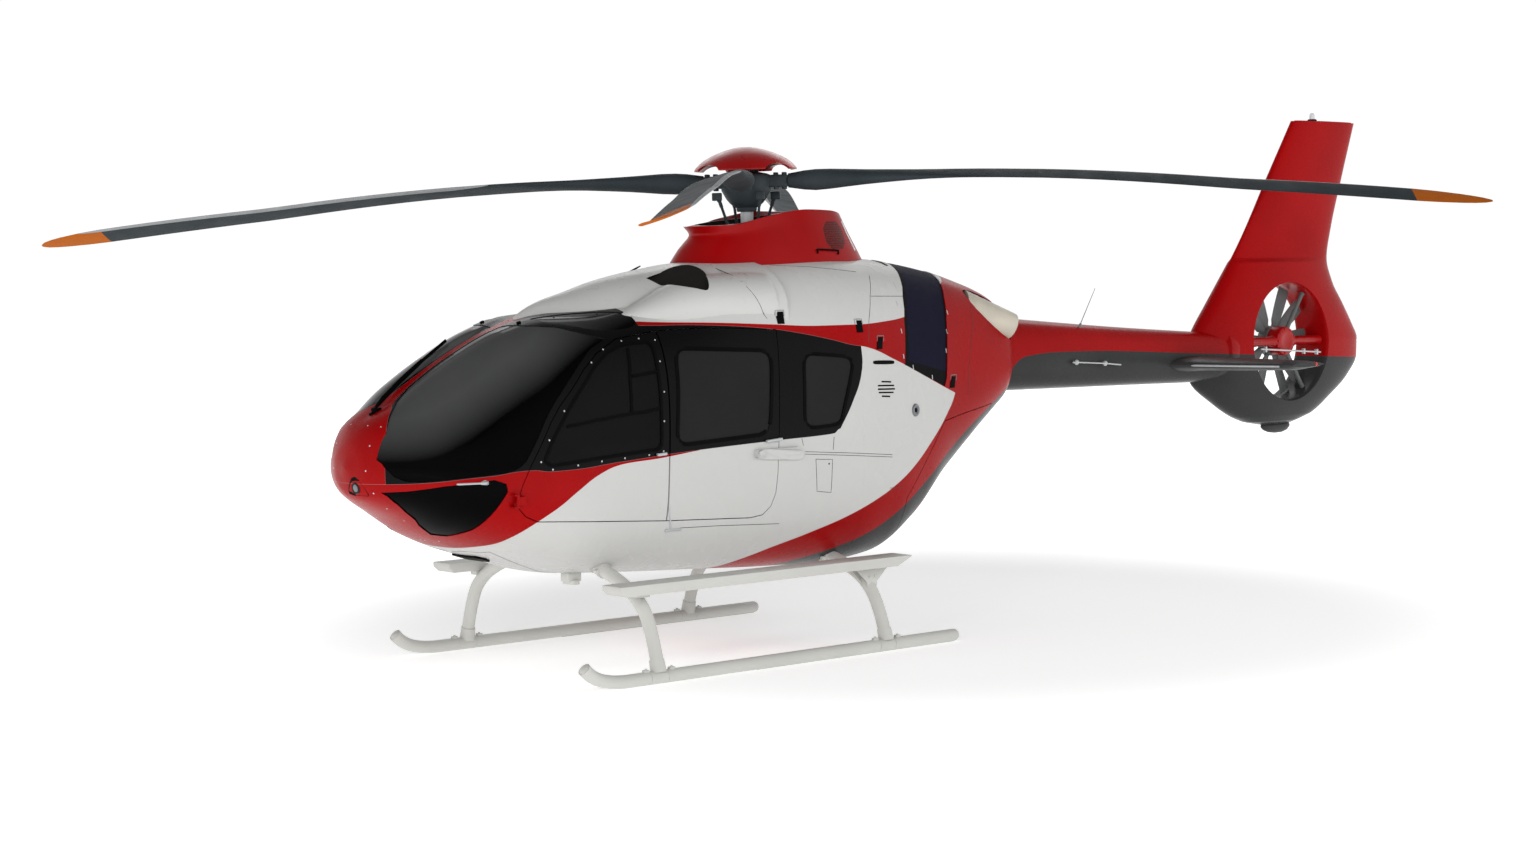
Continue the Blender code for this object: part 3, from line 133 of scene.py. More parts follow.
BLADE = (
    (0.3003, 0.150, 0.100, 0.000, 0.0),
    (0.500, 0.200, 0.150, 0.000, 4.0),
    (0.850, 0.225, 0.105, 0.000, 8.0),
    (1.150, 0.205, 0.080, 0.000, 9.0),
    (1.500, 0.260, 0.055, -0.020, 9.0),
    (1.800, 0.288, 0.034, -0.025, 9.0),
    (3.300, 0.288, 0.030, -0.025, 12.0),
    (4.700, 0.270, 0.024, -0.030, 15.5),
    (5.000, 0.200, 0.018, -0.060, 15.5),
    (5.150, 0.110, 0.012, -0.105, 15.5),
    (ROTOR_RADIUS, 0.030, 0.006, -0.145, 15.5),
)
FAIRING = ((0.00, 0.680, -1.060, 0.390), (0.35, 0.600, -0.985, 0.350), (0.80, 0.515, -0.875, 0.290),
           (1.00, 0.540, -0.830, 0.270))
FAIRING_BASE = 2.640
FAIRING_RIM = ((-0.90, 3.030), (-0.60, 3.075), (-0.35, 3.080), (0.05, 3.025), (0.30, 2.970),
               (0.60, 2.960))
WELL_CENTRE = 0.090
WELL_REACH = 0.345
WELL_HALF = 0.220
SKID_Y = 1.100
SKID_TIP = ((2.325, 0.170), (2.275, 0.120), (2.200, 0.078), (2.100, 0.053), (2.000, 0.0435))
SKID_REAR = -0.980
FRONT_CROSS_X = 1.720
REAR_CROSS_X = -0.290
FRONT_LEG = ((1.099, 0.075), (1.068, 0.200), (1.020, 0.340), (0.960, 0.455), (0.860, 0.545),
             (0.740, 0.610), (0.560, 0.680), (0.400, 0.725), (0.000, 0.735))
REAR_LEG = ((1.099, 0.075), (1.065, 0.190), (1.010, 0.320), (0.940, 0.425), (0.840, 0.505),
            (0.720, 0.560), (0.560, 0.610), (0.400, 0.635), (0.000, 0.640))
DOOR_SEAM = ((1.315, 2.258), (1.375, 1.005))
PILOT_DOOR = ((2.555, 1.220), (2.520, 1.320), (2.455, 1.440), (2.395, 1.530), (2.290, 1.700),
              (2.210, 1.800), (2.110, 1.900), (1.990, 2.020), (1.860, 2.120), (1.650, 2.215), *DOOR_SEAM,
              (2.150, 1.055), (2.390, 1.070), (2.480, 1.110), (2.535, 1.160))
PILOT_WINDOW = ((2.350, 1.460), (2.270, 1.600), (2.115, 1.810), (2.000, 1.930), (1.890, 2.040),
                (1.760, 2.125), (1.620, 2.170), (1.395, 2.185), (1.425, 1.490), (1.920, 1.460),
                (2.300, 1.430))
SLIDING_DOOR = (DOOR_SEAM[0], (0.950, 2.270), (0.345, 2.240), (0.375, 1.870), (0.395, 1.520),
                (0.410, 1.270), (0.430, 1.130), (0.470, 1.040), (0.540, 0.985),
                (0.650, 0.972), DOOR_SEAM[1])
SLIDING_WINDOW = ((1.220, 2.135), (0.430, 2.098), (0.485, 1.545), (1.288, 1.505))
QUARTER_WINDOW = ((0.130, 2.070), (-0.335, 2.030), (-0.180, 1.590), (-0.120, 1.572), (0.155, 1.560))
WINDSCREEN = ((3.400, 1.600), (3.270, 1.500), (3.245, 1.420), (3.200, 1.365), (3.110, 1.355),
              (2.860, 1.380), (2.600, 1.400), (2.505, 1.440), (2.420, 1.560), (2.320, 1.720),
              (2.235, 1.830), (2.135, 1.930), (2.015, 2.050), (1.900, 2.140), (1.700, 2.230),
              (1.700, 2.700), (3.400, 2.700))
CHIN_WINDOW = ((3.250, 1.290), (3.150, 1.300), (2.990, 1.330), (2.710, 1.360), (2.630, 1.330),
               (2.620, 1.280), (2.650, 1.230), (2.700, 1.140), (2.750, 1.040), (2.810, 0.985),
               (2.860, 0.995), (2.960, 1.060), (3.080, 1.150), (3.180, 1.230))
POST = ((3.600, -0.400), (3.600, 0.260), (3.270, 0.260), (3.210, 0.270), (3.130, 0.200), (3.020, 0.100),
        (2.900, 0.060), (2.700, 0.045), (1.900, 0.035), (1.900, -0.400))
BEHIND_SCREEN = ((1.000, -0.100), (2.190, -0.100), (2.180, 0.200), (2.150, 0.300), (2.070, 0.410),
                 (1.940, 0.510), (1.820, 0.575), (1.700, 0.610), (1.000, 0.610))
ROOF_WINDOW = ((2.075, 0.200), (1.960, 0.240), (1.740, 0.240), (1.570, 0.290), (1.450, 0.380),
               (1.400, 0.470), (1.420, 0.540), (1.500, 0.560), (1.700, 0.552), (1.800, 0.530),
               (1.915, 0.470), (2.030, 0.375))
COWL_LINE = ((1.360, 2.315), (0.810, 2.300), (0.390, 2.272), (0.060, 2.230), (-0.330, 2.140),
             (-0.400, 2.121), (-0.470, 2.100), (-0.895, 1.953), (-1.080, 1.890), (-1.395, 1.778),
             (-1.500, 1.740), (-1.620, 1.708), (-2.370, 1.665), (-2.900, 1.660))
HOOD_SEAM = ((0.390, 2.272), (0.290, 2.500), (0.220, 2.620), (0.160, 2.720), (0.160, 3.200))
SCREEN_FRONT = ((-0.895, 1.953), (-0.920, 2.080), (-0.960, 2.260), (-1.030, 2.440), (-1.120, 2.580),
                (-1.200, 2.720), (-1.200, 3.200))
SCREEN_BACK = ((-1.395, 1.778), (-1.430, 1.840), (-1.470, 2.060), (-1.520, 2.250), (-1.590, 2.430),
               (-1.660, 2.550), (-1.720, 2.700), (-1.720, 3.200))

# Livery lines in side view, as (x, z) measured from the mast
SWOOSH = ((0.88, 2.67), (0.90, 2.64), (0.93, 2.57), (0.97, 2.52), (1.04, 2.43), (1.10, 2.34), (1.16, 2.24),
          (1.26, 2.09), (1.35, 1.93), (1.40, 1.77), (1.425, 1.44), (1.46, 1.10))
BLACK_LOW = ((-0.60, 1.54), (-0.18, 1.54), (-0.12, 1.51), (0.04, 1.50), (0.39, 1.49), (1.33, 1.45), (1.47, 1.44),
             (1.77, 1.42), (2.30, 1.39), (2.45, 1.405), (2.71, 1.385), (2.86, 1.375), (3.11, 1.35), (3.35, 1.34))
# Back edge of the black band: (z, x)
BLACK_BACK = ((1.40, -0.10), (1.52, -0.16), (1.56, -0.19), (1.72, -0.30), (1.92, -0.40), (2.04, -0.42), (2.20, -0.42))
RED_LOW = ((-2.75, 1.60), (-2.37, 1.66), (-1.91, 1.69), (-1.60, 1.71), (-1.50, 1.74), (-1.08, 1.89), (-0.78, 2.00),
           (-0.47, 2.10), (-0.33, 2.12), (-0.15, 2.16), (0.18, 2.22), (0.40, 2.25), (1.01, 2.29), (1.41, 2.295),
           (1.60, 2.34), (1.80, 2.60))
RED_TOP = ((-1.90, 2.72), (-1.80, 2.62), (-1.62, 2.52), (-1.45, 2.47), (-1.17, 2.36), (-0.97, 2.30), (-0.66, 2.27),
           (-0.42, 2.26), (-0.06, 2.26), (0.39, 2.28), (0.81, 2.30), (1.38, 2.32), (1.50, 2.33))
SWEEP_TOP = ((-1.60, 2.00), (-1.53, 1.72), (-1.39, 1.55), (-1.22, 1.40), (-0.99, 1.23), (-0.75, 1.10), (-0.47, 0.99),
             (-0.24, 0.91), (0.08, 0.82), (0.46, 0.71), (0.69, 0.60), (0.90, 0.40))
GREY_TOP = ((-7.20, 1.800), (-5.00, 1.900), (-2.95, 1.980), (-2.65, 1.965), (-2.57, 1.955), (-2.46, 1.900),
            (-2.42, 1.840), (-2.36, 1.760), (-2.17, 1.655), (-1.81, 1.480), (-1.47, 1.280), (-1.12, 1.065),
            (-0.81, 0.895), (-0.56, 0.785), (-0.25, 0.685), (0.01, 0.615), (0.16, 0.560), (0.40, 0.450))
# Edges of the intake screen: (z, x)
SCREEN_EDGE_FRONT = ((1.953, -0.895), (2.080, -0.920), (2.260, -0.960), (2.440, -1.030), (2.580, -1.120), (2.720, -1.200))
SCREEN_EDGE_BACK = ((1.778, -1.395), (1.840, -1.430), (2.060, -1.470), (2.250, -1.520), (2.430, -1.590), (2.550, -1.660),
                    (2.700, -1.720))
# Half width of the red centre post between the windscreens, by x
RED_POST = ((1.80, 0.10), (2.06, 0.06), (2.37, 0.030), (2.67, 0.030), (2.98, 0.060), (3.10, 0.16),
            (3.20, 0.26), (3.27, 0.34), (3.40, 0.50))
# Over this line the windscreen glass is pale, a painted reflection; under it the glass is near black: (x, z)
GLASS_SHADE = ((1.40, 2.46), (1.72, 2.36), (1.98, 2.24), (2.28, 2.05), (2.47, 1.95), (2.65, 1.85), (2.89, 1.71),
               (3.06, 1.63), (3.27, 1.61), (3.40, 1.61))
# How much higher the fine hood stands over the table's, by x
HOOD_LIFT = ((2.03, 0.000), (1.90, 0.030), (1.78, 0.038), (1.60, 0.030), (1.35, 0.018), (1.10, 0.006), (0.90, 0.000))




def slope(rows, k, column):
    """A smooth slope of one column of a table at row k."""
    def rise(i):
        return (rows[i + 1][column] - rows[i][column]) / (rows[i + 1][0] - rows[i][0])
    if k == 0:
        return rise(0)
    if k == len(rows) - 1:
        return rise(k - 1)
    before, after = rise(k - 1), rise(k)
    return 2 * before * after / (before + after) if before * after > 0 else 0.0


def read_table(table, x):
    """The columns of a table at station x, along smooth curves through its rows."""
    rows = sorted(table)
    keys = [row[0] for row in rows]
    x = min(max(x, keys[0]), keys[-1])
    i = min(max(bisect.bisect_right(keys, x) - 1, 0), len(keys) - 2)
    h = keys[i + 1] - keys[i]
    t = (x - keys[i]) / h
    found = []
    for column in range(1, len(rows[0])):
        a, b = rows[i][column], rows[i + 1][column]
        da, db = slope(rows, i, column) * h, slope(rows, i + 1, column) * h
        found.append((2 * t**3 - 3 * t**2 + 1) * a + (t**3 - 2 * t**2 + t) * da
                     + (3 * t**2 - 2 * t**3) * b + (t**3 - t**2) * db)
    return found


def signed_power(value, power):
    return math.copysign(abs(value) ** power, value)


def crease(x, y):
    """Depth of the valley between the two windscreens."""
    along = min(max((x - CREASE_FROM) / 0.25, 0.0), 1.0) * min(max((CREASE_TO - x) / 0.20, 0.0), 1.0)
    return CREASE_DEPTH * along * max(0.0, 1.0 - abs(y) / CREASE_HALF) ** 2


def smooth_path(points, steps):
    """A smooth curve through points."""
    points = [Vector(p) for p in points]
    ends = [2 * points[0] - points[1]] + points + [2 * points[-1] - points[-2]]
    out = []
    for a, b, c, d in zip(ends, ends[1:], ends[2:], ends[3:]):
        for k in range(steps):
            t = k / steps
            out.append(0.5 * (2 * b + (c - a) * t + (2 * a - 5 * b + 4 * c - d) * t**2
                              + (3 * b - a - 3 * c + d) * t**3))
    return [tuple(p) for p in out] + [tuple(points[-1])]


def rounded(outline, radius, steps=2):
    """The outline with its corners cut by arcs."""
    points = [Vector(p) for p in outline]
    out = []
    for i, p in enumerate(points):
        before, after = points[i - 1], points[(i + 1) % len(points)]
        reach = min(radius, (before - p).length * 0.45, (after - p).length * 0.45)
        a = p + (before - p).normalized() * reach
        b = p + (after - p).normalized() * reach
        for k in range(steps + 1):
            t = k / steps
            out.append(tuple((1 - t) ** 2 * a + 2 * t * (1 - t) * p + t**2 * b))
    return out


def offset_outline(outline, distance):
    """The outline drawn in by distance, with mitred corners."""
    points = [Vector(p) for p in outline]
    area = sum(a.x * b.y - b.x * a.y for a, b in zip(points, points[1:] + points[:1]))
    side = 1.0 if area > 0 else -1.0
    moved = []
    for i, p in enumerate(points):
        before, after = points[i - 1], points[(i + 1) % len(points)]
        d1, d2 = (p - before).normalized(), (after - p).normalized()
        n1, n2 = Vector((-d1.y, d1.x)) * side, Vector((-d2.y, d2.x)) * side
        bisector = (n1 + n2).normalized()
        moved.append(tuple(p + bisector * (distance / max(bisector.dot(n1), 0.3))))
    return moved


def rim_height(x):
    rows = FAIRING_RIM
    x = min(max(x, rows[0][0]), rows[-1][0])
    return read_table(rows, x)[0]


def blade_height(radius):
    """Height of a blade's middle line over the hub plane, for its droop at rest."""
    reach = max(radius - 0.5, 0.0) / (ROTOR_RADIUS - 0.5)
    return 0.03 * math.sin(math.pi * min(reach * 1.6, 1.0)) - ROTOR_DROOP * reach**1.9


class Shader:
    """A material being built, with the object's own coordinates split for masks."""

    def __init__(self, name):
        self.material = bpy.data.materials.new(name)
        self.material.use_nodes = True
        self.tree = self.material.node_tree
        self.bsdf = self.tree.nodes["Principled BSDF"]
        self.place = self.node("ShaderNodeTexCoord").outputs["Object"]
        split = self.node("ShaderNodeSeparateXYZ")
        self.link(self.place, split.inputs[0])
        self.along = split.outputs["X"]
        self.x = self.math("SUBTRACT", self.along, MAST_X)
        self.y = split.outputs["Y"]
        self.z = split.outputs["Z"]
        self.side = self.math("ABSOLUTE", self.y)

    def node(self, kind, **settings):
        made = self.tree.nodes.new(kind)
        for key, value in settings.items():
            setattr(made, key, value)
        return made

    def link(self, source, target):
        if isinstance(source, (int, float)):
            target.default_value = source
        elif isinstance(source, tuple):
            target.default_value = source
        else:
            self.tree.links.new(source, target)

    def math(self, operation, a, b=0.0, c=0.0, clamp=False):
        made = self.node("ShaderNodeMath", operation=operation, use_clamp=clamp)
        for value, socket in zip((a, b, c), made.inputs):
            self.link(value, socket)
        return made.outputs[0]

    def remap(self, value, low, high, to_low=0.0, to_high=1.0, clamp=True, kind="LINEAR"):
        made = self.node("ShaderNodeMapRange", clamp=clamp, interpolation_type=kind)
        for source, socket in zip((value, low, high, to_low, to_high), made.inputs):
            self.link(source, socket)
        return made.outputs[0]

    def mix(self, factor, a, b):
        made = self.node("ShaderNodeMix", data_type="RGBA")
        self.link(factor, made.inputs["Factor"])
        self.link(a, made.inputs[6])
        self.link(b, made.inputs[7])
        return made.outputs[2]

    def curve(self, along, points):
        """Height of a line of points, as a function of the input."""
        xs, ys = [p[0] for p in points], [p[1] for p in points]
        x0, x1, y0, y1 = min(xs), max(xs), min(ys) - 0.001, max(ys) + 0.001
        made = self.node("ShaderNodeFloatCurve")
        line = made.mapping.curves[0]
        flat = sorted(((x - x0) / (x1 - x0), (y - y0) / (y1 - y0)) for x, y in points)
        while len(line.points) < len(flat):
            line.points.new(0.5, 0.5)
        for point, (a, b) in zip(line.points, flat):
            point.location = (a, b)
            point.handle_type = "AUTO_CLAMPED" if len(flat) > 4 else "VECTOR"
        made.mapping.update()
        self.link(self.remap(along, x0, x1), made.inputs["Value"])
        return self.remap(made.outputs[0], 0.0, 1.0, y0, y1)

    def above(self, value, level, soft=0.0012):
        """1 where value is over level, with an edge as sharp as masked paint."""
        return self.remap(self.math("SUBTRACT", value, level), -soft, soft)

    def over_line(self, points, soft=0.0012):
        return self.above(self.z, self.curve(self.x, points), soft)

    def ahead_of(self, points, soft=0.0012):
        return self.above(self.x, self.curve(self.z, points), soft)

    def both(self, a, b):
        return self.math("MULTIPLY", a, b)

    def either(self, a, b):
        return self.math("MAXIMUM", a, b)

    def neither(self, a):
        return self.math("SUBTRACT", 1.0, a)

    def noise(self, scale, detail=3.0, roughness=0.5):
        made = self.node("ShaderNodeTexNoise")
        self.link(self.place, made.inputs["Vector"])
        made.inputs["Scale"].default_value = scale
        made.inputs["Detail"].default_value = detail
        made.inputs["Roughness"].default_value = roughness
        return made.outputs["Fac"]

    def bump(self, height, strength, distance):
        made = self.node("ShaderNodeBump")
        made.inputs["Strength"].default_value = strength
        made.inputs["Distance"].default_value = distance
        self.link(height, made.inputs["Height"])
        self.link(made.outputs[0], self.bsdf.inputs["Normal"])

    def varied(self, colour, amount, scale):
        """A colour with slow darker patches."""
        dark = tuple(c * (1 - amount) for c in colour[:3]) + (1.0,)
        return self.mix(self.remap(self.noise(scale), 0.35, 0.7), dark, colour)

    def set(self, **values):
        for key, value in values.items():
            self.link(value, self.bsdf.inputs[key.replace("_", " ")])


def turns(sides):
    return [2 * math.pi * k / sides for k in range(sides)]


def spread(start, end, steps):
    return [start + (end - start) * k / steps for k in range(steps + 1)]


def to_mesh(bm, name, angle=35.0):
    """The mesh of a bmesh, smooth but for edges sharper than angle."""
    bmesh.ops.recalc_face_normals(bm, faces=bm.faces)
    mesh = bpy.data.meshes.new(name)
    bm.to_mesh(mesh)
    bm.free()
    mesh.shade_smooth()
    mesh.set_sharp_from_angle(angle=math.radians(angle))
    return mesh


def loft(name, rings, angle=35.0, capped=True):
    """A body through rings of matching points."""
    bm = bmesh.new()
    rows = [[bm.verts.new(p) for p in ring] for ring in rings]
    count = len(rings[0])
    for lower, upper in zip(rows, rows[1:]):
        for k in range(count):
            bm.faces.new((lower[k], lower[(k + 1) % count], upper[(k + 1) % count], upper[k]))
    if capped:
        bm.faces.new(rows[0])
        bm.faces.new(reversed(rows[-1]))
    return to_mesh(bm, name, angle)


def sweep(points, radius, sides=12, flat=1.0, closed=False):
    """A round bar along points; radius is one number, or one for each point. Returns its rings."""
    points = [Vector(p) for p in points]
    count = len(points)
    radii = radius if isinstance(radius, (list, tuple)) else [radius] * count
    rings = []
    up = None
    for k, p in enumerate(points):
        ahead = points[(k + 1) % count] if closed or k < count - 1 else p
        behind = points[k - 1] if closed or k > 0 else p
        way = (ahead - behind).normalized()
        if up is None:
            up = way.orthogonal().normalized() if abs(way.z) > 0.9 else Vector((0, 0, 1))
        across = way.cross(up).normalized()
        up = across.cross(way).normalized()
        rings.append([p + across * (radii[k] * math.cos(t)) + up * (radii[k] * flat * math.sin(t))
                      for t in turns(sides)])
    return rings


def tube(name, points, radius, sides=12, flat=1.0, closed=False):
    rings = sweep(points, radius, sides, flat, closed)
    if closed:
        rings.append(rings[0])
    mesh = loft(name, rings, 40.0, not closed)
    if closed:
        bm = bmesh.new()
        bm.from_mesh(mesh)
        bmesh.ops.remove_doubles(bm, verts=bm.verts, dist=0.00001)
        return to_mesh(bm, name, 40.0)
    return mesh


def lathe(name, profile, steps=48, matrix=None, angle=35.0):
    """A body turned about Z from (radius, height) pairs, moved by matrix."""
    matrix = matrix or Matrix.Identity(4)
    rings = [[matrix @ Vector((max(r, 0.0002) * math.cos(t), max(r, 0.0002) * math.sin(t), z)) for t in turns(steps)]
             for r, z in profile]
    return loft(name, rings, angle)


def block(name, low, high, edge=0.004, matrix=None, segments=2):
    """A box between two corners with rounded edges, moved by matrix."""
    bm = bmesh.new()
    bmesh.ops.create_cube(bm, size=1.0)
    bmesh.ops.scale(bm, vec=Vector(high) - Vector(low), verts=bm.verts)
    bmesh.ops.translate(bm, vec=(Vector(low) + Vector(high)) / 2, verts=bm.verts)
    if edge:
        bmesh.ops.bevel(bm, geom=bm.edges, offset=edge, segments=segments, profile=0.5, affect="EDGES")
    if matrix:
        bmesh.ops.transform(bm, matrix=matrix, verts=bm.verts)
    return to_mesh(bm, name, 50.0)


def plate(name, outline, low, high, view="side", edge=0.0):
    """An outline as a solid: (x, z) from y low to high, or (x, y) from z low to high in plan."""
    bm = bmesh.new()
    lift = (lambda a, b, c: (a, c, b)) if view == "side" else (lambda a, b, c: (a, b, c))
    rows = [[bm.verts.new(lift(a, b, level)) for a, b in outline] for level in (low, high)]
    count = len(outline)
    for k in range(count):
        bm.faces.new((rows[0][k], rows[0][(k + 1) % count], rows[1][(k + 1) % count], rows[1][k]))
    bm.faces.new(rows[0])
    bm.faces.new(reversed(rows[1]))
    if edge:
        bmesh.ops.bevel(bm, geom=bm.edges, offset=edge, segments=2, profile=0.5, affect="EDGES")
    return to_mesh(bm, name, 40.0)


def joined(name, meshes):
    """Several meshes as one, each keeping its own place and smoothness."""
    bm = bmesh.new()
    for mesh in meshes:
        bm.from_mesh(mesh)
        bpy.data.meshes.remove(mesh)
    mesh = bpy.data.meshes.new(name)
    bm.to_mesh(mesh)
    bm.free()
    return mesh


def frame_at(place, normal, along=(1.0, 0.0, 0.0)):
    """A matrix at place, its Z along normal and its X near along."""
    z = Vector(normal).normalized()
    x = (Vector(along) - z * Vector(along).dot(z)).normalized()
    y = z.cross(x)
    return Matrix.Translation(place) @ Matrix((x, y, z)).transposed().to_4x4()


def settled(obj):
    """The object with its modifiers applied."""
    bpy.context.view_layer.update()
    made = bpy.data.meshes.new_from_object(obj.evaluated_get(bpy.context.evaluated_depsgraph_get()))
    obj.modifiers.clear()
    obj.data = made
    return obj


def loose(name, mesh):
    obj = bpy.data.objects.new(name, mesh)
    bpy.context.scene.collection.objects.link(obj)
    return obj


def carve(obj, mesh, operation="DIFFERENCE", material=None):
    """The object cut by, or joined to, a mesh. A cut's faces take the cutter's material."""
    other = loose("cutter", mesh)
    if material:
        mesh.materials.append(material)
        if material.name not in [m.name for m in obj.data.materials if m]:
            obj.data.materials.append(material)
    modifier = obj.modifiers.new("cut", "BOOLEAN")
    modifier.operation = operation
    modifier.object = other
    modifier.solver = "EXACT"
    modifier.material_mode = "TRANSFER" if material else "INDEX"
    settled(obj)
    bpy.data.objects.remove(other)
    return obj


def evened(obj, angle=30.0):
    """Shading evened over a cut body's long faces."""
    obj.data.shade_smooth()
    obj.data.set_sharp_from_angle(angle=math.radians(angle))
    modifier = obj.modifiers.new("normals", "WEIGHTED_NORMAL")
    modifier.keep_sharp = True
    modifier.weight = 100
    return settled(obj)


def add(name, mesh, material, body="airframe"):
    """A new piece in row coordinates, riding on a body."""
    obj = mesh if isinstance(mesh, bpy.types.Object) else loose(name, mesh)
    obj.name = name
    if not obj.data.materials:
        obj.data.materials.append(material)
    obj.data.materials[0] = material
    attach(obj, body)
    return obj


def stand_in(name, mesh, material, *replaced):
    """A piece that stands for CAD nodes, on their body and in their slot."""
    obj = add(name, mesh, material, body_of[replaced[0]])
    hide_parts(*replaced)
    return obj


def section(table, x, sides, power_sides=True):
    """One section of a body of the kind HULL describes: a list of (y, z)."""
    bottom, top, middle, half, n_up, n_down = read_table(table, x)
    ring = []
    for turn in turns(sides):
        c, s = math.cos(turn), math.sin(turn)
        n = n_up if s >= 0 else n_down
        reach = top - middle if s >= 0 else middle - bottom
        ring.append((half * signed_power(c, 2 / n), middle + reach * signed_power(s, 2 / n)))
    return ring


def hull_rings(stations, sides):
    rings = []
    for x in stations:
        middle = read_table(HULL, x)[2]
        rings.append([Vector((x + MAST_X, y, z - (crease(x, y) if z > middle else 0.0)))
                      for y, z in section(HULL, x, sides)])
    return rings


def skin_tree(stations, sides, smooth):
    """A search tree over the hull's surface, and with smooth its triangles and corner normals too."""
    rings = hull_rings(stations, sides)
    points = [p for ring in rings for p in ring]
    faces = []
    for row in range(len(rings) - 1):
        for k in range(sides):
            a, b = row * sides + k, row * sides + (k + 1) % sides
            c, d = b + sides, a + sides
            if points[a].y + points[b].y + points[c].y + points[d].y > 0:
                a, b, c, d = b, c, d, a
            faces += [(a, b, c), (a, c, d)]
    last = (len(rings) - 1) * sides
    faces += [(0, k + 1, k) for k in range(1, sides - 1)]
    faces += [(last, last + k, last + k + 1) for k in range(1, sides - 1)]
    tree = BVHTree.FromPolygons(points, faces)
    if not smooth:
        return tree
    mesh = bpy.data.meshes.new("skin")
    mesh.from_pydata(points, [], faces)
    bm = bmesh.new()
    bm.from_mesh(mesh)
    bmesh.ops.recalc_face_normals(bm, faces=bm.faces)
    bm.normal_update()
    normals = [v.normal.copy() for v in bm.verts]
    bm.free()
    bpy.data.meshes.remove(mesh)
    return tree, points, faces, normals


NOSE_STATIONS = [3.350 - 0.0025 * k for k in range(12)] + [3.320 - 0.010 * k for k in range(12)]
FINE_STATIONS = NOSE_STATIONS + [3.200 - 0.030 * k for k in range(187)] + [-2.395, -2.408, -2.420]
coarse_tree = skin_tree(HULL_STATIONS, HULL_SIDES, False)
fine_tree, fine_points, fine_faces, fine_normals = skin_tree(FINE_STATIONS, 112, True)


def hull_shift(point):
    """How far the smooth hull lies from the faceted one, along the ray from the hull's middle."""
    x = min(max(point.x - MAST_X, -2.405), 2.600)
    origin = Vector((x + MAST_X, 0.0, read_table(HULL, x)[2]))
    target = Vector((max(point.x, -2.405 + MAST_X), point.y, point.z))
    way = (target - origin).normalized()
    coarse, fine = coarse_tree.ray_cast(origin, way)[0], fine_tree.ray_cast(origin, way)[0]
    if coarse is None or fine is None:
        return Vector()
    reach = (fine - origin).length - (coarse - origin).length
    return way * min(max(reach, -0.03), 0.03)


def skin_normal(point):
    """The smooth hull's normal nearest to a point, and its distance."""
    place, _, index, distance = fine_tree.find_nearest(point)
    a, b, c = fine_faces[index]
    normal = barycentric_transform(place, fine_points[a], fine_points[b], fine_points[c],
                                   fine_normals[a], fine_normals[b], fine_normals[c])
    return normal.normalized(), distance


def skinned(name, material, spacing=0.055):
    """A node of the hull's wall with its facets rounded out to the smooth hull."""
    node = nodes[name]
    bm = bmesh.new()
    bm.from_mesh(node.data)
    bm.transform(node.matrix_world)
    bmesh.ops.remove_doubles(bm, verts=bm.verts, dist=0.00001)
    for _ in range(6):
        long_edges = [e for e in bm.edges if e.calc_length() > spacing]
        if not long_edges:
            break
        bmesh.ops.subdivide_edges(bm, edges=long_edges, cuts=1)
        bmesh.ops.triangulate(bm, faces=[f for f in bm.faces if len(f.verts) > 3])
    for vert in bm.verts:
        vert.co += hull_shift(vert.co)
    bm.normal_update()
    mesh = bpy.data.meshes.new(name + "_skin")
    bm.to_mesh(mesh)
    bm.free()
    mesh.shade_smooth()
    true_normals = [skin_normal(v.co) for v in mesh.vertices]
    normals = []
    for face in mesh.polygons:
        for index in face.vertices:
            normal, distance = true_normals[index]
            facing = face.normal.dot(normal)
            if distance < 0.013 and facing > 0.85:
                normals.append(normal)
            elif distance < WALL + 0.010 and facing < -0.85:
                normals.append(-normal)
            else:
                normals.append(face.normal.copy())
    mesh.normals_split_custom_set(normals)
    return stand_in(name + "_skin", mesh, material, name)


def side_point(x, z, side=1, lift=0.0):
    """The point and normal of the smooth hull at a place in side view."""
    start = Vector((x + MAST_X, side * 3.0, z))
    place, _, _, _ = fine_tree.ray_cast(start, Vector((0, -side, 0)))
    if place is None:
        place = fine_tree.find_nearest(Vector((x + MAST_X, 0.0, z)))[0]
    normal, _ = skin_normal(place)
    return place + normal * lift, normal


def roof_point(x, y, lift=0.0):
    place, _, _, _ = fine_tree.ray_cast(Vector((x + MAST_X, y, 5.0)), Vector((0, 0, -1)))
    normal, _ = skin_normal(place)
    return place + normal * lift, normal


def dense(outline, step=0.025, closed=True):
    """The outline with points added along its long sides."""
    out = []
    ends = list(outline[1:]) + ([outline[0]] if closed else [])
    for a, b in zip(outline, ends):
        count = max(1, int(math.dist(a, b) / step))
        out += [tuple(p + (q - p) * k / count for p, q in zip(a, b)) for k in range(count)]
    return out if closed else out + [tuple(outline[-1])]


WHITE = (0.52, 0.52, 0.508, 1.0)
RED = (0.310, 0.0014, 0.0022, 1.0)
GREY = (0.036, 0.0365, 0.037, 1.0)
BLACK = (0.0030, 0.0030, 0.0034, 1.0)
STRIP = (0.30, 0.31, 0.32, 1.0)
ORANGE = (0.42, 0.100, 0.004, 1.0)


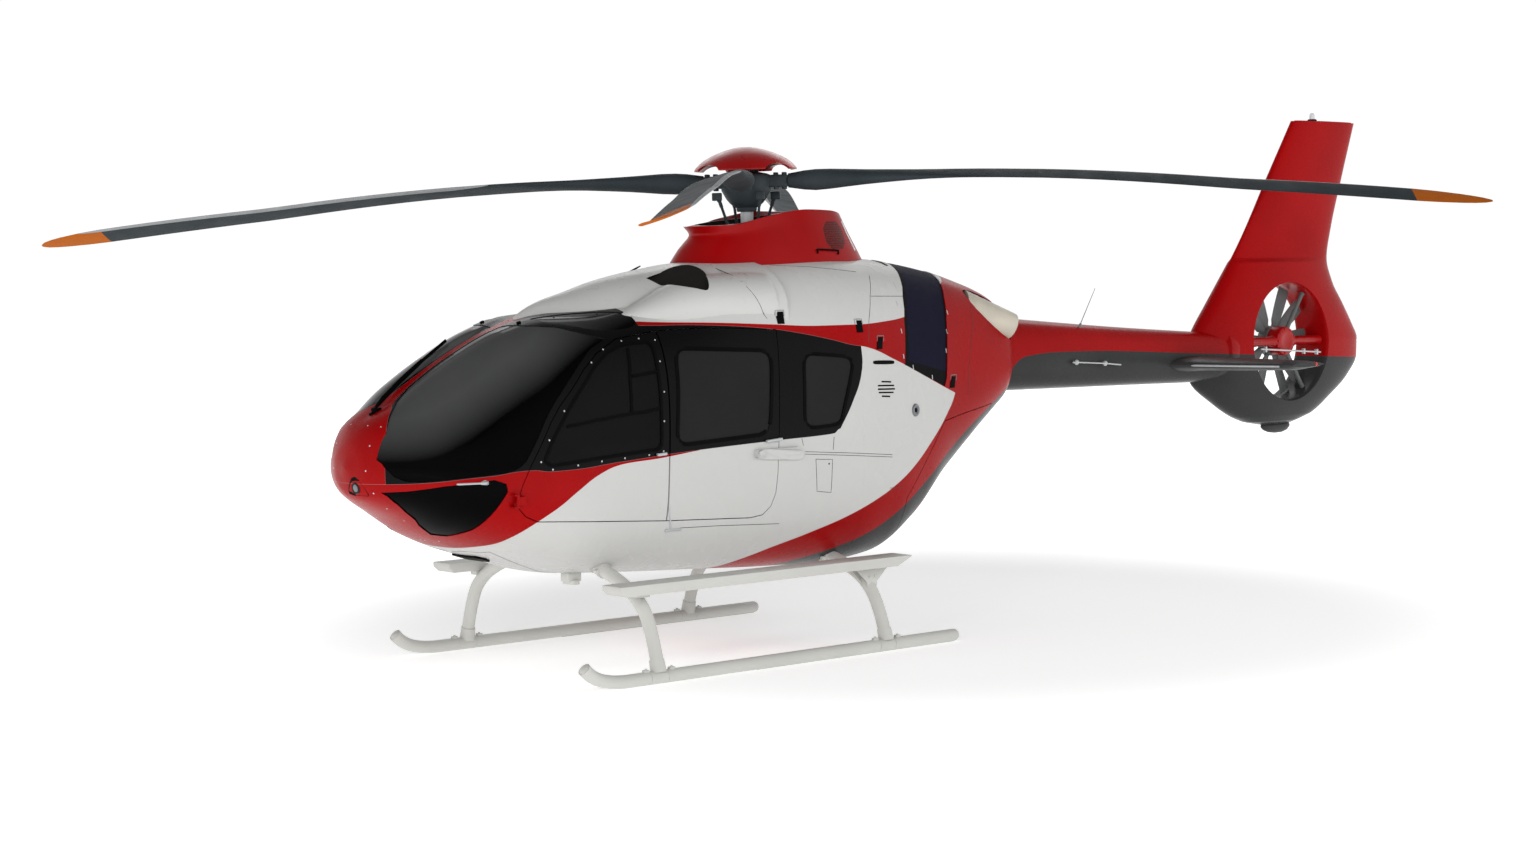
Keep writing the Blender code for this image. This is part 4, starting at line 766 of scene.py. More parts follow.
def livery(name):
    """Paint of the fuselage: white, red, black and grey fields masked off in side view."""
    s = Shader(name)
    white = s.varied(WHITE, 0.02, 1.3)
    red = s.varied(RED, 0.15, 1.7)
    in_front = s.both(s.ahead_of(SWOOSH), s.neither(s.over_line(BLACK_LOW)))
    upper = s.both(s.over_line(RED_LOW), s.neither(s.over_line(RED_TOP)))
    upper = s.both(upper, s.above(1.48, s.x))
    sweep = s.neither(s.over_line(SWEEP_TOP))
    sweep = s.both(sweep, s.above(0.85, s.x))
    behind = s.both(s.above(-1.60, s.x), s.neither(s.over_line(RED_TOP)))
    behind = s.either(behind, s.above(-1.86, s.x))
    post = s.both(s.above(s.curve(s.x, RED_POST), s.side), s.above(s.x, 1.80))
    post = s.both(post, s.over_line(BLACK_LOW))
    red_mask = s.either(s.either(in_front, upper), s.either(sweep, s.either(behind, post)))
    black = s.both(s.over_line(BLACK_LOW), s.neither(s.over_line(RED_LOW)))
    black = s.both(black, s.ahead_of(BLACK_BACK))
    roof = s.both(s.over_line(BLACK_LOW), s.above(s.x, 1.42))
    black = s.both(s.either(black, roof), s.neither(post))
    grey = s.both(s.neither(s.over_line(GREY_TOP)), s.above(0.30, s.x))
    colour = s.mix(red_mask, white, red)
    colour = s.mix(black, colour, BLACK)
    colour = s.mix(grey, colour, s.varied(GREY, 0.15, 2.0))
    s.set(Base_Color=colour, Roughness=s.remap(s.noise(6.0), 0.3, 0.7, 0.24, 0.30), Specular_IOR_Level=0.07)
    s.bump(s.noise(260.0, 2.0), 0.01, 0.0004)
    return s.material


def plain(name, colour, roughness, metallic=0.0, variation=0.12, scale=3.0, grain=140.0, strength=0.08, shine=0.3):
    """A finish of one colour with slow variation and a fine grain."""
    s = Shader(name)
    s.set(Base_Color=s.varied(colour, variation, scale), Metallic=metallic, Specular_IOR_Level=shine,
          Roughness=s.remap(s.noise(grain / 20), 0.3, 0.7, roughness * 0.85, min(roughness * 1.15, 1.0)))
    s.bump(s.noise(grain, 4.0), strength, 0.001)
    return s.material


def glass(name, tint_and_reflection, shade=None):
    """Dark tinted glass. Where shade is set, only the part over that line takes the given colour, on the windscreen a
    pale painted reflection, and the glass under it is near black.
    """
    s = Shader(name)
    colour = s.varied(tint_and_reflection, 0.12, 2.0)
    if shade:
        colour = s.mix(s.over_line(shade, 0.13), (0.0010, 0.0010, 0.0012, 1.0), colour)
    s.set(Base_Color=colour, Roughness=s.remap(s.noise(3.0), 0.3, 0.7, 0.06, 0.10), Alpha=0.975,
          Specular_IOR_Level=0.025)
    return s.material


def blade_paint(name):
    """Dark blade with a light strip on its leading edge and an orange tip. X runs out along the blade."""
    s = Shader(name)
    colour = s.varied((0.034, 0.043, 0.048, 1.0), 0.2, 3.0)
    edge = s.remap(s.along, 1.60, 2.10, 0.150, 0.076)
    strip = s.both(s.above(s.along, 1.62), s.above(s.y, edge))
    tip = s.both(s.above(s.along, 4.68), s.neither(strip))
    colour = s.mix(tip, colour, s.varied(ORANGE, 0.12, 8.0))
    colour = s.mix(strip, colour, s.varied(STRIP, 0.15, 9.0))
    s.set(Base_Color=colour, Roughness=s.remap(s.noise(8.0), 0.3, 0.7, 0.60, 0.72), Specular_IOR_Level=0.06)
    s.bump(s.noise(90.0, 3.0), 0.05, 0.0006)
    return s.material


def grille_paint(name):
    """Red fairing paint with a patch of small round holes on each side near its back."""
    s = Shader(name)
    patch = s.both(s.above(0.115, s.math("ABSOLUTE", s.math("ADD", s.x, 0.585))),
                   s.above(0.100, s.math("ABSOLUTE", s.math("SUBTRACT", s.z, 2.895))))
    corner = s.math("ADD", s.math("ABSOLUTE", s.math("ADD", s.x, 0.585)),
                    s.math("ABSOLUTE", s.math("SUBTRACT", s.z, 2.895)))
    patch = s.both(patch, s.above(0.165, corner))
    patch = s.both(patch, s.above(s.side, 0.12))
    pitch = 250.0
    dots = s.both(s.math("SINE", s.math("MULTIPLY", s.x, pitch)), s.math("SINE", s.math("MULTIPLY", s.z, pitch)))
    holes = s.both(patch, s.above(s.math("ABSOLUTE", dots), 0.22, 0.1))
    colour = s.mix(holes, s.varied(RED, 0.15, 2.0), (0.004, 0.002, 0.002, 1.0))
    s.set(Base_Color=colour, Roughness=s.remap(s.noise(6.0), 0.3, 0.7, 0.30, 0.40), Specular_IOR_Level=0.15)
    s.bump(s.neither(holes), 0.4, 0.002)
    return s.material


def screen_mesh(name):
    """Fine dark blue wire mesh."""
    s = Shader(name)
    wires = s.both(s.math("SINE", s.math("MULTIPLY", s.z, 900.0)),
                   s.math("SINE", s.math("MULTIPLY", s.math("ADD", s.x, s.y), 900.0)))
    ribs = s.math("ABSOLUTE", s.math("SINE", s.math("MULTIPLY", s.z, 45.0)))
    wires = s.remap(wires, -0.3, 0.6)
    blue = s.mix(wires, (0.003, 0.003, 0.010, 1.0), (0.009, 0.0085, 0.032, 1.0))
    blue = s.mix(s.remap(ribs, 0.0, 0.06), (0.002, 0.002, 0.006, 1.0), blue)
    front = s.above(s.x, s.math("SUBTRACT", s.curve(s.z, SCREEN_EDGE_FRONT), 0.048))
    back = s.above(s.math("ADD", s.curve(s.z, SCREEN_EDGE_BACK), 0.020), s.x)
    low = s.neither(s.over_line(((-1.50, 1.875), (-0.90, 1.995))))
    rim = s.either(s.either(front, back), low)
    s.set(Base_Color=s.mix(rim, blue, BLACK), Roughness=0.6, Specular_IOR_Level=0.05)
    s.bump(wires, 0.5, 0.001)
    return s.material


def woven(name, colour):
    """Seat cloth with a fine weave."""
    s = Shader(name)
    weave = s.both(s.math("SINE", s.math("MULTIPLY", s.math("ADD", s.along, s.z), 1500.0)),
                   s.math("SINE", s.math("MULTIPLY", s.y, 1500.0)))
    s.set(Base_Color=s.varied(colour, 0.25, 8.0), Roughness=0.85, Sheen_Weight=0.3, Specular_IOR_Level=0.2)
    s.bump(weave, 0.4, 0.0008)
    return s.material


def lens(name, colour):
    """A small coloured lamp glass with a faint glow; the clear one is also used for painted highlights."""
    s = Shader(name)
    s.set(Base_Color=s.varied(colour, 0.2, 30.0), Roughness=0.1, Emission_Color=colour, Emission_Strength=0.25)
    s.bump(s.noise(200.0), 0.1, 0.001)
    return s.material


hull_paint = livery("hull_paint")
white_paint = plain("white_paint", WHITE, 0.3, variation=0.02, scale=1.3, grain=260.0, strength=0.04, shine=0.15)
red_paint = plain("red_paint", RED, 0.30, grain=260.0, strength=0.01, shine=0.30)
fairing_paint = grille_paint("fairing_red")
rotor_grey = plain("rotor_grey", (0.034, 0.043, 0.048, 1.0), 0.55, variation=0.25, scale=9.0, shine=0.15)
fan_grey = plain("fan_grey", (0.115, 0.120, 0.120, 1.0), 0.5, variation=0.2, scale=9.0)
gear_white = plain("gear_white", (0.56, 0.56, 0.530, 1.0), 0.4, variation=0.05, grain=90.0)
tail_grey = plain("tail_grey", GREY, 0.45, shine=0.15)
exhaust_beige = plain("exhaust_beige", (0.60, 0.555, 0.465, 1.0), 0.5, 0.1, variation=0.2, scale=5.0)
# Near black painted shade for the insides of cut openings: the hood's intake mouths and the fairing's mast well.
painted_shade = plain("painted_shade", (0.010, 0.009, 0.008, 1.0), 0.9)
screen_blue = screen_mesh("screen_blue")
cabin_black = plain("cabin_black", (0.012, 0.012, 0.013, 1.0), 0.7, grain=300.0, strength=0.2)
rubber = plain("rubber", (0.0022, 0.0022, 0.0025, 1.0), 0.6, grain=220.0, shine=0.04)
seam_dark = plain("seam_dark", (0.05, 0.05, 0.05, 1.0), 0.8)
steel = plain("steel", (0.42, 0.43, 0.44, 1.0), 0.32, 0.9, grain=60.0)
light_metal = plain("light_metal", (0.50, 0.51, 0.52, 1.0), 0.4, 0.3, grain=60.0)
grey_metal = plain("grey_metal", (0.20, 0.21, 0.22, 1.0), 0.4, 0.5, grain=60.0)
screen_display = plain("screen_display", (0.010, 0.014, 0.018, 1.0), 0.12, variation=0.3, scale=20.0)
seat_cloth = woven("seat_cloth", (0.020, 0.021, 0.024, 1.0))
belt_grey = woven("belt_grey", (0.10, 0.10, 0.105, 1.0))
blade_dark = blade_paint("blade_dark")
# The windscreen's pale colour over GLASS_SHADE is a painted reflection.
screen_glass = glass("screen_glass", (0.073, 0.074, 0.074, 1.0), GLASS_SHADE)
side_glass = glass("side_glass", (0.019, 0.019, 0.020, 1.0))
door_glass = glass("door_glass", (0.0075, 0.0075, 0.008, 1.0))
red_lens = lens("red_lens", (0.55, 0.01, 0.01, 1.0))
# The clear lamp glass also paints the glowing highlight strips on the fairing's back edge.
clear_lens_and_highlight = lens("clear_lens_and_highlight", (0.55, 0.56, 0.58, 1.0))


def side_names(*names):
    return [f"{name}_{side}" for name in names for side in ("left", "right")]


def make_skins():
    """Every node of the hull's wall, rounded out."""
    for name in ("nose_shell", "cabin_shell", "rear_shell", "engine_cowling", "rear_cowling", "front_cowling",
                 *side_names("pilot_door", "sliding_door", "rear_door")):
        skinned(name, hull_paint)
    for name in side_names("windscreen", "chin_window", "roof_window"):
        skinned(name, screen_glass)
    for name in side_names("quarter_window", "sliding_glass"):
        skinned(name, side_glass)
    for name in side_names("pilot_glass"):
        skinned(name, door_glass)
    skinned("intake_screen", screen_blue)


def table_rings(table, stations, sides, grow=0.0):
    return [[Vector((x + MAST_X, y * (1 + grow), z)) for y, z in section(table, x, sides)] for x in stations]


# Mouth of the intake in the hood, seen from the side: front tip, round the back and along the lower lip
INTAKE = ((1.075, 0.200, 2.598), (0.980, 0.215, 2.640), (0.850, 0.230, 2.690), (0.760, 0.300, 2.700),
          (0.745, 0.420, 2.660), (0.790, 0.520, 2.600), (0.856, 0.600, 2.520), (0.935, 0.570, 2.530),
          (1.010, 0.480, 2.540), (1.050, 0.340, 2.560))


def make_hood():
    """The hood with both bulges melted into it, and an intake mouth on each side."""
    rings = table_rings(HOOD, spread(HOOD[-1][0], HOOD[0][0], 40), 72)
    for ring in rings:
        lift = read_table(HOOD_LIFT, ring[0].x - MAST_X)[0]
        base = min(p.z for p in ring)
        top = max(p.z for p in ring)
        for p in ring:
            p.z += lift * ((p.z - base) / (top - base)) ** 2
    hood = loose("roof_hood_skin", loft("hood", rings))
    for side in (1, -1):
        rings = []
        for x in spread(BULGE[-1][0], BULGE[0][0], 30):
            y, z, half, tall = read_table(BULGE, x)
            rings.append([(x + MAST_X, side * (y + half * math.cos(t)), z + tall * math.sin(t)) for t in turns(40)])
        carve(hood, loft("bulge", rings), "UNION")
    remesh = hood.modifiers.new("melt", "REMESH")
    remesh.mode = "VOXEL"
    remesh.voxel_size = 0.014
    smooth = hood.modifiers.new("smooth", "SMOOTH")
    smooth.iterations = 6
    smooth.factor = 0.5
    settled(hood)
    hood.data.materials.clear()
    hood.data.materials.append(white_paint)
    inward = Vector((-0.30, -0.55, -0.30)).normalized() * 0.16
    liners = []
    for side in (1, -1):
        mouth = [Vector((x + MAST_X, side * y, z)) for x, y, z in smooth_path(INTAKE + INTAKE[:1], 4)[:-1]]
        way = Vector((inward.x, side * inward.y, inward.z))
        middle = sum(mouth, Vector()) / len(mouth)
        rings = [[p - way * 0.5 for p in mouth], [p + way * 0.1 for p in mouth],
                 [middle + (p - middle) * 0.8 + way for p in mouth]]
        # The mouth's cut faces take painted shade.
        carve(hood, loft("mouth", rings), "DIFFERENCE", painted_shade)
        # A dark liner deep in each mouth is a sheet of painted shade.
        liner = [[middle + (p - middle) * 1.02 + way * depth for p in mouth] for depth in (0.14, 0.18)]
        liners.append(loft("liner", liner))
    evened(hood, 40.0)
    stand_in("roof_hood_skin", hood, white_paint, "roof_hood")
    add("intake_shade_liners", joined("liners", liners), painted_shade)


def make_fairing():
    rings = []
    for share in (0.0, 0.1, 0.2, 0.35, 0.5, 0.65, 0.74, 0.80, 0.84, 0.90, 0.95, 1.0):
        front, back, half = read_table(FAIRING, share)
        front -= 0.045 * math.exp(-((share - 0.82) / 0.16) ** 2)
        middle, reach = (front + back) / 2, (front - back) / 2
        ring = []
        for turn in turns(96):
            x = middle + reach * signed_power(math.cos(turn), 0.85)
            y = half * signed_power(math.sin(turn), 0.85)
            ring.append((x + MAST_X, y, FAIRING_BASE + share * (rim_height(x) - FAIRING_BASE)))
        rings.append(ring)
    fairing = loose("mast_fairing_skin", loft("fairing", rings, 40.0))
    fairing.data.materials.append(fairing_paint)
    well = [[(MAST_X + WELL_CENTRE + WELL_REACH * math.cos(t), WELL_HALF * math.sin(t), z) for t in turns(64)]
            for z in (2.72, 3.3)]
    # The mast well's cut faces take painted shade.
    carve(fairing, loft("well", well), "DIFFERENCE", painted_shade)
    evened(fairing, 28.0)
    stand_in("mast_fairing_skin", fairing, fairing_paint, "mast_fairing")


def make_tail():
    boom = table_rings(BOOM, spread(BOOM[-1][0], BOOM[0][0], 24), 64)
    for share in spread(0.0, 1.0, 14)[1:]:
        low, high, middle, half, *_ = read_table(BOOM, BOOM[-1][0])
        keep = math.sqrt(max(1.0 - share * share, 0.0001))
        boom.insert(0, [Vector((BOOM[-1][0] - 0.310 * share + MAST_X, y * (0.25 + 0.75 * keep) * 1.10,
                                middle + 0.035 + (z - middle) * keep * 0.92))
                        for y, z in section(BOOM, BOOM[-1][0], 64)])
    stand_in("tail_boom_skin", loft("boom", boom), hull_paint, "tail_boom")
    rings = []
    levels = [z for z, *_ in FIN] + spread(1.30, 3.88, 70) + [2.645, 2.655, 2.662, 2.669, 2.677, 2.685, 2.692, 2.700, 2.712]
    for z in sorted(set(levels)):
        lead, trail, half = read_table(FIN, z)
        above = min(max((z - 2.655) / 0.045, 0.0), 1.0)
        step = 0.052 * above * above * (3 - 2 * above) * min(max((3.3 - z) / 0.5, 0.0), 1.0)
        middle, reach = (lead + trail) / 2, (lead - trail) / 2
        rings.append([(MAST_X + middle + reach * signed_power(math.cos(t), 0.9),
                       (half - min(step, half * 0.45) * (0.5 + 0.5 * math.cos(t))) * signed_power(math.sin(t), 0.9), z)
                      for t in turns(72)])
    fin = loose("tail_fin_skin", loft("fin", rings))
    fin.data.materials.append(hull_paint)
    cx, cy, cz = FAN_CENTRE
    flares = [(y, 0.045 * (1 - math.sqrt(max(1 - ((y - 0.120) / 0.075) ** 2, 0.0)))) for y in spread(0.120, 0.195, 8)]
    flares = [(-0.4, 0.2), *[(-y, flare) for y, flare in reversed(flares)], *flares, (0.4, 0.2)]
    rings = [[(MAST_X + cx + (DUCT_RADIUS + flare) * math.cos(t), y, cz + (DUCT_RADIUS + flare) * math.sin(t))
              for t in turns(96)] for y, flare in flares]
    carve(fin, loft("duct", rings))
    evened(fin, 32.0)
    stand_in("tail_fin_skin", fin, hull_paint, "tail_fin")
    for side in (1, -1):
        rings = []
        for y in [0.100, *spread(0.15, 1.10, 12), 1.12, 1.14, 1.155, 1.168, 1.176, 1.180]:
            lead, trail, thick = read_table(STABILISER, y)
            trail -= 0.07 * y / 1.12
            lead += 0.10 * max(0.0, 1.0 - y / 0.36)
            thick *= 2.1 + 0.5 * max(0.0, 1.0 - y / 0.36)
            middle, reach = (lead + trail) / 2, (lead - trail) / 2
            rings.append([(MAST_X + middle + reach * math.cos(t), side * y, STABILISER_Z + thick * math.sin(t)
                           * (0.72 + 0.28 * math.cos(t))) for t in turns(40)])
        name = "left" if side > 0 else "right"
        stand_in(f"stabiliser_skin_{name}", loft("stabiliser", rings), tail_grey, f"stabiliser_{name}")


def make_bumper():
    """The rounded bumper under the fin."""
    rings = []
    for x, z, half, drop in ((-5.785, 1.247, 0.004, 0.004), (-5.795, 1.245, 0.022, 0.020),
                             (-5.830, 1.242, 0.042, 0.036), (-5.880, 1.238, 0.052, 0.048),
                             (-5.960, 1.236, 0.054, 0.054), (-6.040, 1.236, 0.052, 0.052),
                             (-6.100, 1.240, 0.042, 0.042), (-6.140, 1.246, 0.024, 0.024), (-6.152, 1.250, 0.004, 0.004)):
        rings.append([(MAST_X + x, half * math.cos(t), z + drop * math.sin(t)) for t in turns(32)])
    stand_in("tail_bumper_skin", loft("bumper", rings, 50.0), tail_grey, "tail_bumper")


def airfoil(sides):
    """Points of a wing section one chord long: (place along the chord, half thickness), nose first."""
    out = []
    for t in turns(sides):
        along = 0.5 * math.cos(t)
        depth = math.sqrt(max(0.5 - along, 0.0)) * (0.5 + along) ** 0.9 * 1.55
        out.append((along, math.copysign(depth, math.sin(t)) * 0.5 if abs(math.sin(t)) > 1e-6 else 0.0))
    return out


def make_blades(pivot):
    """The main blades, each in its own frame with X out along the blade."""
    stations = [0.303, 0.33, 0.37, 0.42, 0.50, 0.60, 0.72, 0.85, 1.00, 1.15, 1.30, 1.50, 1.65, 1.80,
                *spread(2.1, 4.5, 12), 4.7, 4.85, 5.0, 5.08, 5.15, 5.18, 5.197]
    for k in range(4):
        rings = []
        for radius in stations:
            chord, thick, shift, pitch = read_table(BLADE, radius)
            lean = math.radians(pitch + 3.5 * min(max((radius - 1.1) / 0.6, 0.0), 1.0))
            wing = min(max((radius - 0.9) / 0.8, 0.0), 1.0)
            ring = []
            for t in turns(32):
                flat = signed_power(math.sin(t), 0.9) * (0.72 + 0.28 * math.cos(t))
                round_shape = math.sin(t)
                high = thick / 2 * (flat * wing + round_shape * (1 - wing))
                along = chord / 2 * math.cos(t)
                ring.append((radius, shift + along * math.cos(lean) - high * math.sin(lean),
                             blade_height(radius) + along * math.sin(lean) + high * math.cos(lean)))
            rings.append(ring)
        blade = loose(f"rotor_blade_skin_{k + 1}", loft("blade", rings, 50.0))
        blade.matrix_world = pivot @ Matrix.Rotation(ROTOR_TURN + k * math.pi / 2, 4, "Z")
        stand_in(blade.name, blade, blade_dark, f"rotor_blade_{k + 1}")


def make_rotor_head(pivot):
    """Cap, hub with its bowl and arms, mast, swashplate and pitch links."""
    cap = [(0.000, 0.247), (0.040, 0.246), (0.080, 0.240), (0.140, 0.225), (0.200, 0.204), (0.250, 0.182),
           (0.300, 0.154), (0.330, 0.130), (0.355, 0.104), (0.366, 0.088), (0.366, 0.080), (0.352, 0.078),
           (0.335, 0.092), (0.285, 0.142), (0.190, 0.190), (0.060, 0.224), (0.050, 0.080), (0.000, 0.080)]
    dome = loose("rotor_cap_skin", lathe("cap", cap, 96, pivot))
    dome.data.materials.append(red_paint)
    for k in range(4):
        turn = pivot @ Matrix.Rotation(ROTOR_TURN + k * math.pi / 2 + math.pi / 4, 4, "Z")
        arch = [(0.115 * math.cos(t), 0.075 + 0.045 * math.sin(t)) for t in spread(0.0, math.pi, 16)]
        arch = [(0.115, 0.02), *arch, (-0.115, 0.02)]
        rings = [[turn @ Vector((x, y, z)) for y, z in arch] for x in (0.24, 0.50)]
        carve(dome, loft("arch", rings))
    evened(dome, 30.0)
    stand_in("rotor_cap_skin", dome, red_paint, "rotor_cap")
    hub = [(0.000, 0.074), (0.080, 0.074), (0.095, 0.068), (0.120, 0.062), (0.150, 0.056), (0.170, 0.048),
           (0.180, 0.032), (0.182, 0.000), (0.180, -0.030), (0.176, -0.060), (0.160, -0.090), (0.142, -0.122),
           (0.120, -0.150), (0.100, -0.168), (0.080, -0.178), (0.074, -0.184), (0.072, -0.206), (0.066, -0.212),
           (0.050, -0.212)]
    parts = [lathe("hub", hub, 64, pivot)]
    for k in range(4):
        turn = pivot @ Matrix.Rotation(ROTOR_TURN + k * math.pi / 2, 4, "Z")
        parts.append(block("arm", (0.10, -0.062, -0.044), (0.302, 0.062, 0.044), 0.012, turn))
        for y in (-0.042, 0.042):
            for x in (0.215, 0.275):
                bolt = turn @ Matrix.Translation((x, y, 0.0))
                parts.append(lathe("bolt", [(0, 0.060), (0.014, 0.060), (0.016, 0.056), (0.016, -0.056),
                                            (0.014, -0.060), (0, -0.060)], 12, bolt))
    for t in turns(12):
        bolt = pivot @ Matrix.Translation((0.085 * math.cos(t), 0.085 * math.sin(t), 0.0))
        parts.append(lathe("bolt", [(0, 0.092), (0.009, 0.092), (0.009, 0.06), (0, 0.06)], 6, bolt))
    stand_in("rotor_hub_skin", joined("hub", parts), rotor_grey, "rotor_hub")
    mast = lathe("mast", [(0.0, -0.205), (0.046, -0.205), (0.046, -0.330), (0.051, -0.335), (0.051, -0.375),
                          (0.046, -0.380), (0.046, -0.65), (0.0, -0.65)], 48, pivot)
    add("mast_tube", mast, light_metal, "main_rotor")
    plate_rings = [(0.048, -0.318), (0.095, -0.318), (0.122, -0.326), (0.136, -0.338), (0.142, -0.350),
                   (0.142, -0.378), (0.132, -0.390), (0.104, -0.398), (0.075, -0.404), (0.048, -0.404)]
    parts = [lathe("plate", plate_rings, 56, pivot)]
    for k in range(4):
        turn = ROTOR_TURN + k * math.pi / 2
        out = Vector((math.cos(turn), math.sin(turn), 0.0))
        side_way = Vector((-math.sin(turn), math.cos(turn), 0.0))
        low = out * 0.110 + side_way * 0.075 + Vector((0, 0, -0.370))
        high = out * 0.200 + side_way * 0.115 + Vector((0, 0, -0.080))
        path = [pivot @ low.lerp(high, share) for share in (0, 0.14, 0.16, 0.30, 0.32, 0.66, 0.68, 0.80, 0.82, 1.0)]
        parts.append(tube("link", path, [0.019, 0.019, 0.012, 0.012, 0.010, 0.010, 0.013, 0.013, 0.017, 0.017], 16))
        fork = pivot @ Matrix.Translation(high) @ Matrix.Rotation(turn, 4, "Z")
        parts.append(block("fork", (-0.034, -0.028, -0.050), (0.034, 0.028, 0.006), 0.006, fork))
    stand_in("swashplate_skin", joined("swash", parts), rotor_grey, "swashplate")


def make_fan():
    cx, cy, cz = FAN_CENTRE
    centre = Vector((MAST_X + cx, cy, cz))
    across = Matrix.Translation(centre) @ Matrix.Rotation(-math.pi / 2, 4, "X")
    parts = [lathe("hub", [(0, 0.0), (0.118, 0.0), (0.128, -0.008), (0.130, -0.02), (0.130, -0.09), (0.122, -0.104),
                           (0.09, -0.110), (0.0, -0.110)], 64, across)]
    for t in turns(10):
        petal = across @ Matrix.Translation((0.095 * math.cos(t), 0.095 * math.sin(t), -0.112))
        parts.append(lathe("petal", [(0, 0.004), (0.016, 0.004), (0.018, 0.0), (0.016, -0.004), (0, -0.004)], 16, petal))
    for k in range(10):
        turn = 2 * math.pi * k / 10 + 0.12 * math.sin(2.4 * k)
        out = Vector((math.cos(turn), 0, math.sin(turn)))
        along = Vector((-math.sin(turn), 0, math.cos(turn)))
        rings = []
        for radius, chord, thick, pitch in ((0.118, 0.052, 0.020, 10.0), (0.150, 0.066, 0.013, 9.0),
                                            (0.180, 0.100, 0.011, 8.4), (0.300, 0.122, 0.009, 6.8),
                                            (0.400, 0.130, 0.007, 5.8), (0.486, 0.130, 0.006, 4.8)):
            lean = math.radians(pitch)
            chord_way = along * math.cos(lean) + Vector((0, 1, 0)) * math.sin(lean)
            flat_way = out.cross(chord_way)
            middle = centre + Vector((0, -0.060, 0)) + out * radius
            rings.append([middle + chord_way * (chord / 2 * math.cos(t)) + flat_way * (thick * math.sin(t))
                          for t in turns(16)])
        parts.append(loft("fan_blade", rings, 50.0))
    stand_in("fan_rotor_skin", joined("fan", parts), fan_grey, "fan_rotor")
    drum = [(0, 0.0), (0.122, 0.0), (0.125, 0.004), (0.125, 0.095), (0.118, 0.112), (0.100, 0.122), (0.070, 0.125),
            (0.060, 0.120), (0.0, 0.120)]
    parts = [lathe("drum", drum, 64, across)]
    for t in turns(9):
        bolt = across @ Matrix.Translation((0.105 * math.cos(t), 0.105 * math.sin(t), 0.113))
        parts.append(lathe("bolt", [(0, 0.012), (0.009, 0.012), (0.010, 0.0), (0, 0.0)], 8, bolt))
    for turn, radius in ((0.0, 0.040), (180.0, 0.040)):
        out = Vector((math.cos(math.radians(turn)), 0, math.sin(math.radians(turn))))
        base = centre + Vector((0, 0.065, 0))
        path = [base + out * r for r in (0.06, 0.14, 0.16, 0.46, 0.498)]
        parts.append(tube("strut", path, [radius * 1.25, radius * 1.2, radius, radius, radius * 1.25], 24))
    stand_in("fan_gearbox_skin", joined("gearbox", parts), red_paint, "fan_gearbox")
    struts = []
    for turn in (125.0, 235.0):
        out = Vector((math.cos(math.radians(turn)), 0, math.sin(math.radians(turn))))
        base = centre + Vector((0, 0.065, 0))
        struts.append(tube("strut", [base + out * r for r in (0.10, 0.16, 0.46, 0.496)], [0.024, 0.019, 0.019, 0.024], 20))
    add("fan_struts", joined("struts", struts), fan_grey)


def cross_path(x, leg):
    half = smooth_path([(x + MAST_X, y, z) for y, z in leg], 5)
    return half + [(a, -b, c) for a, b, c in reversed(half[:-1])]


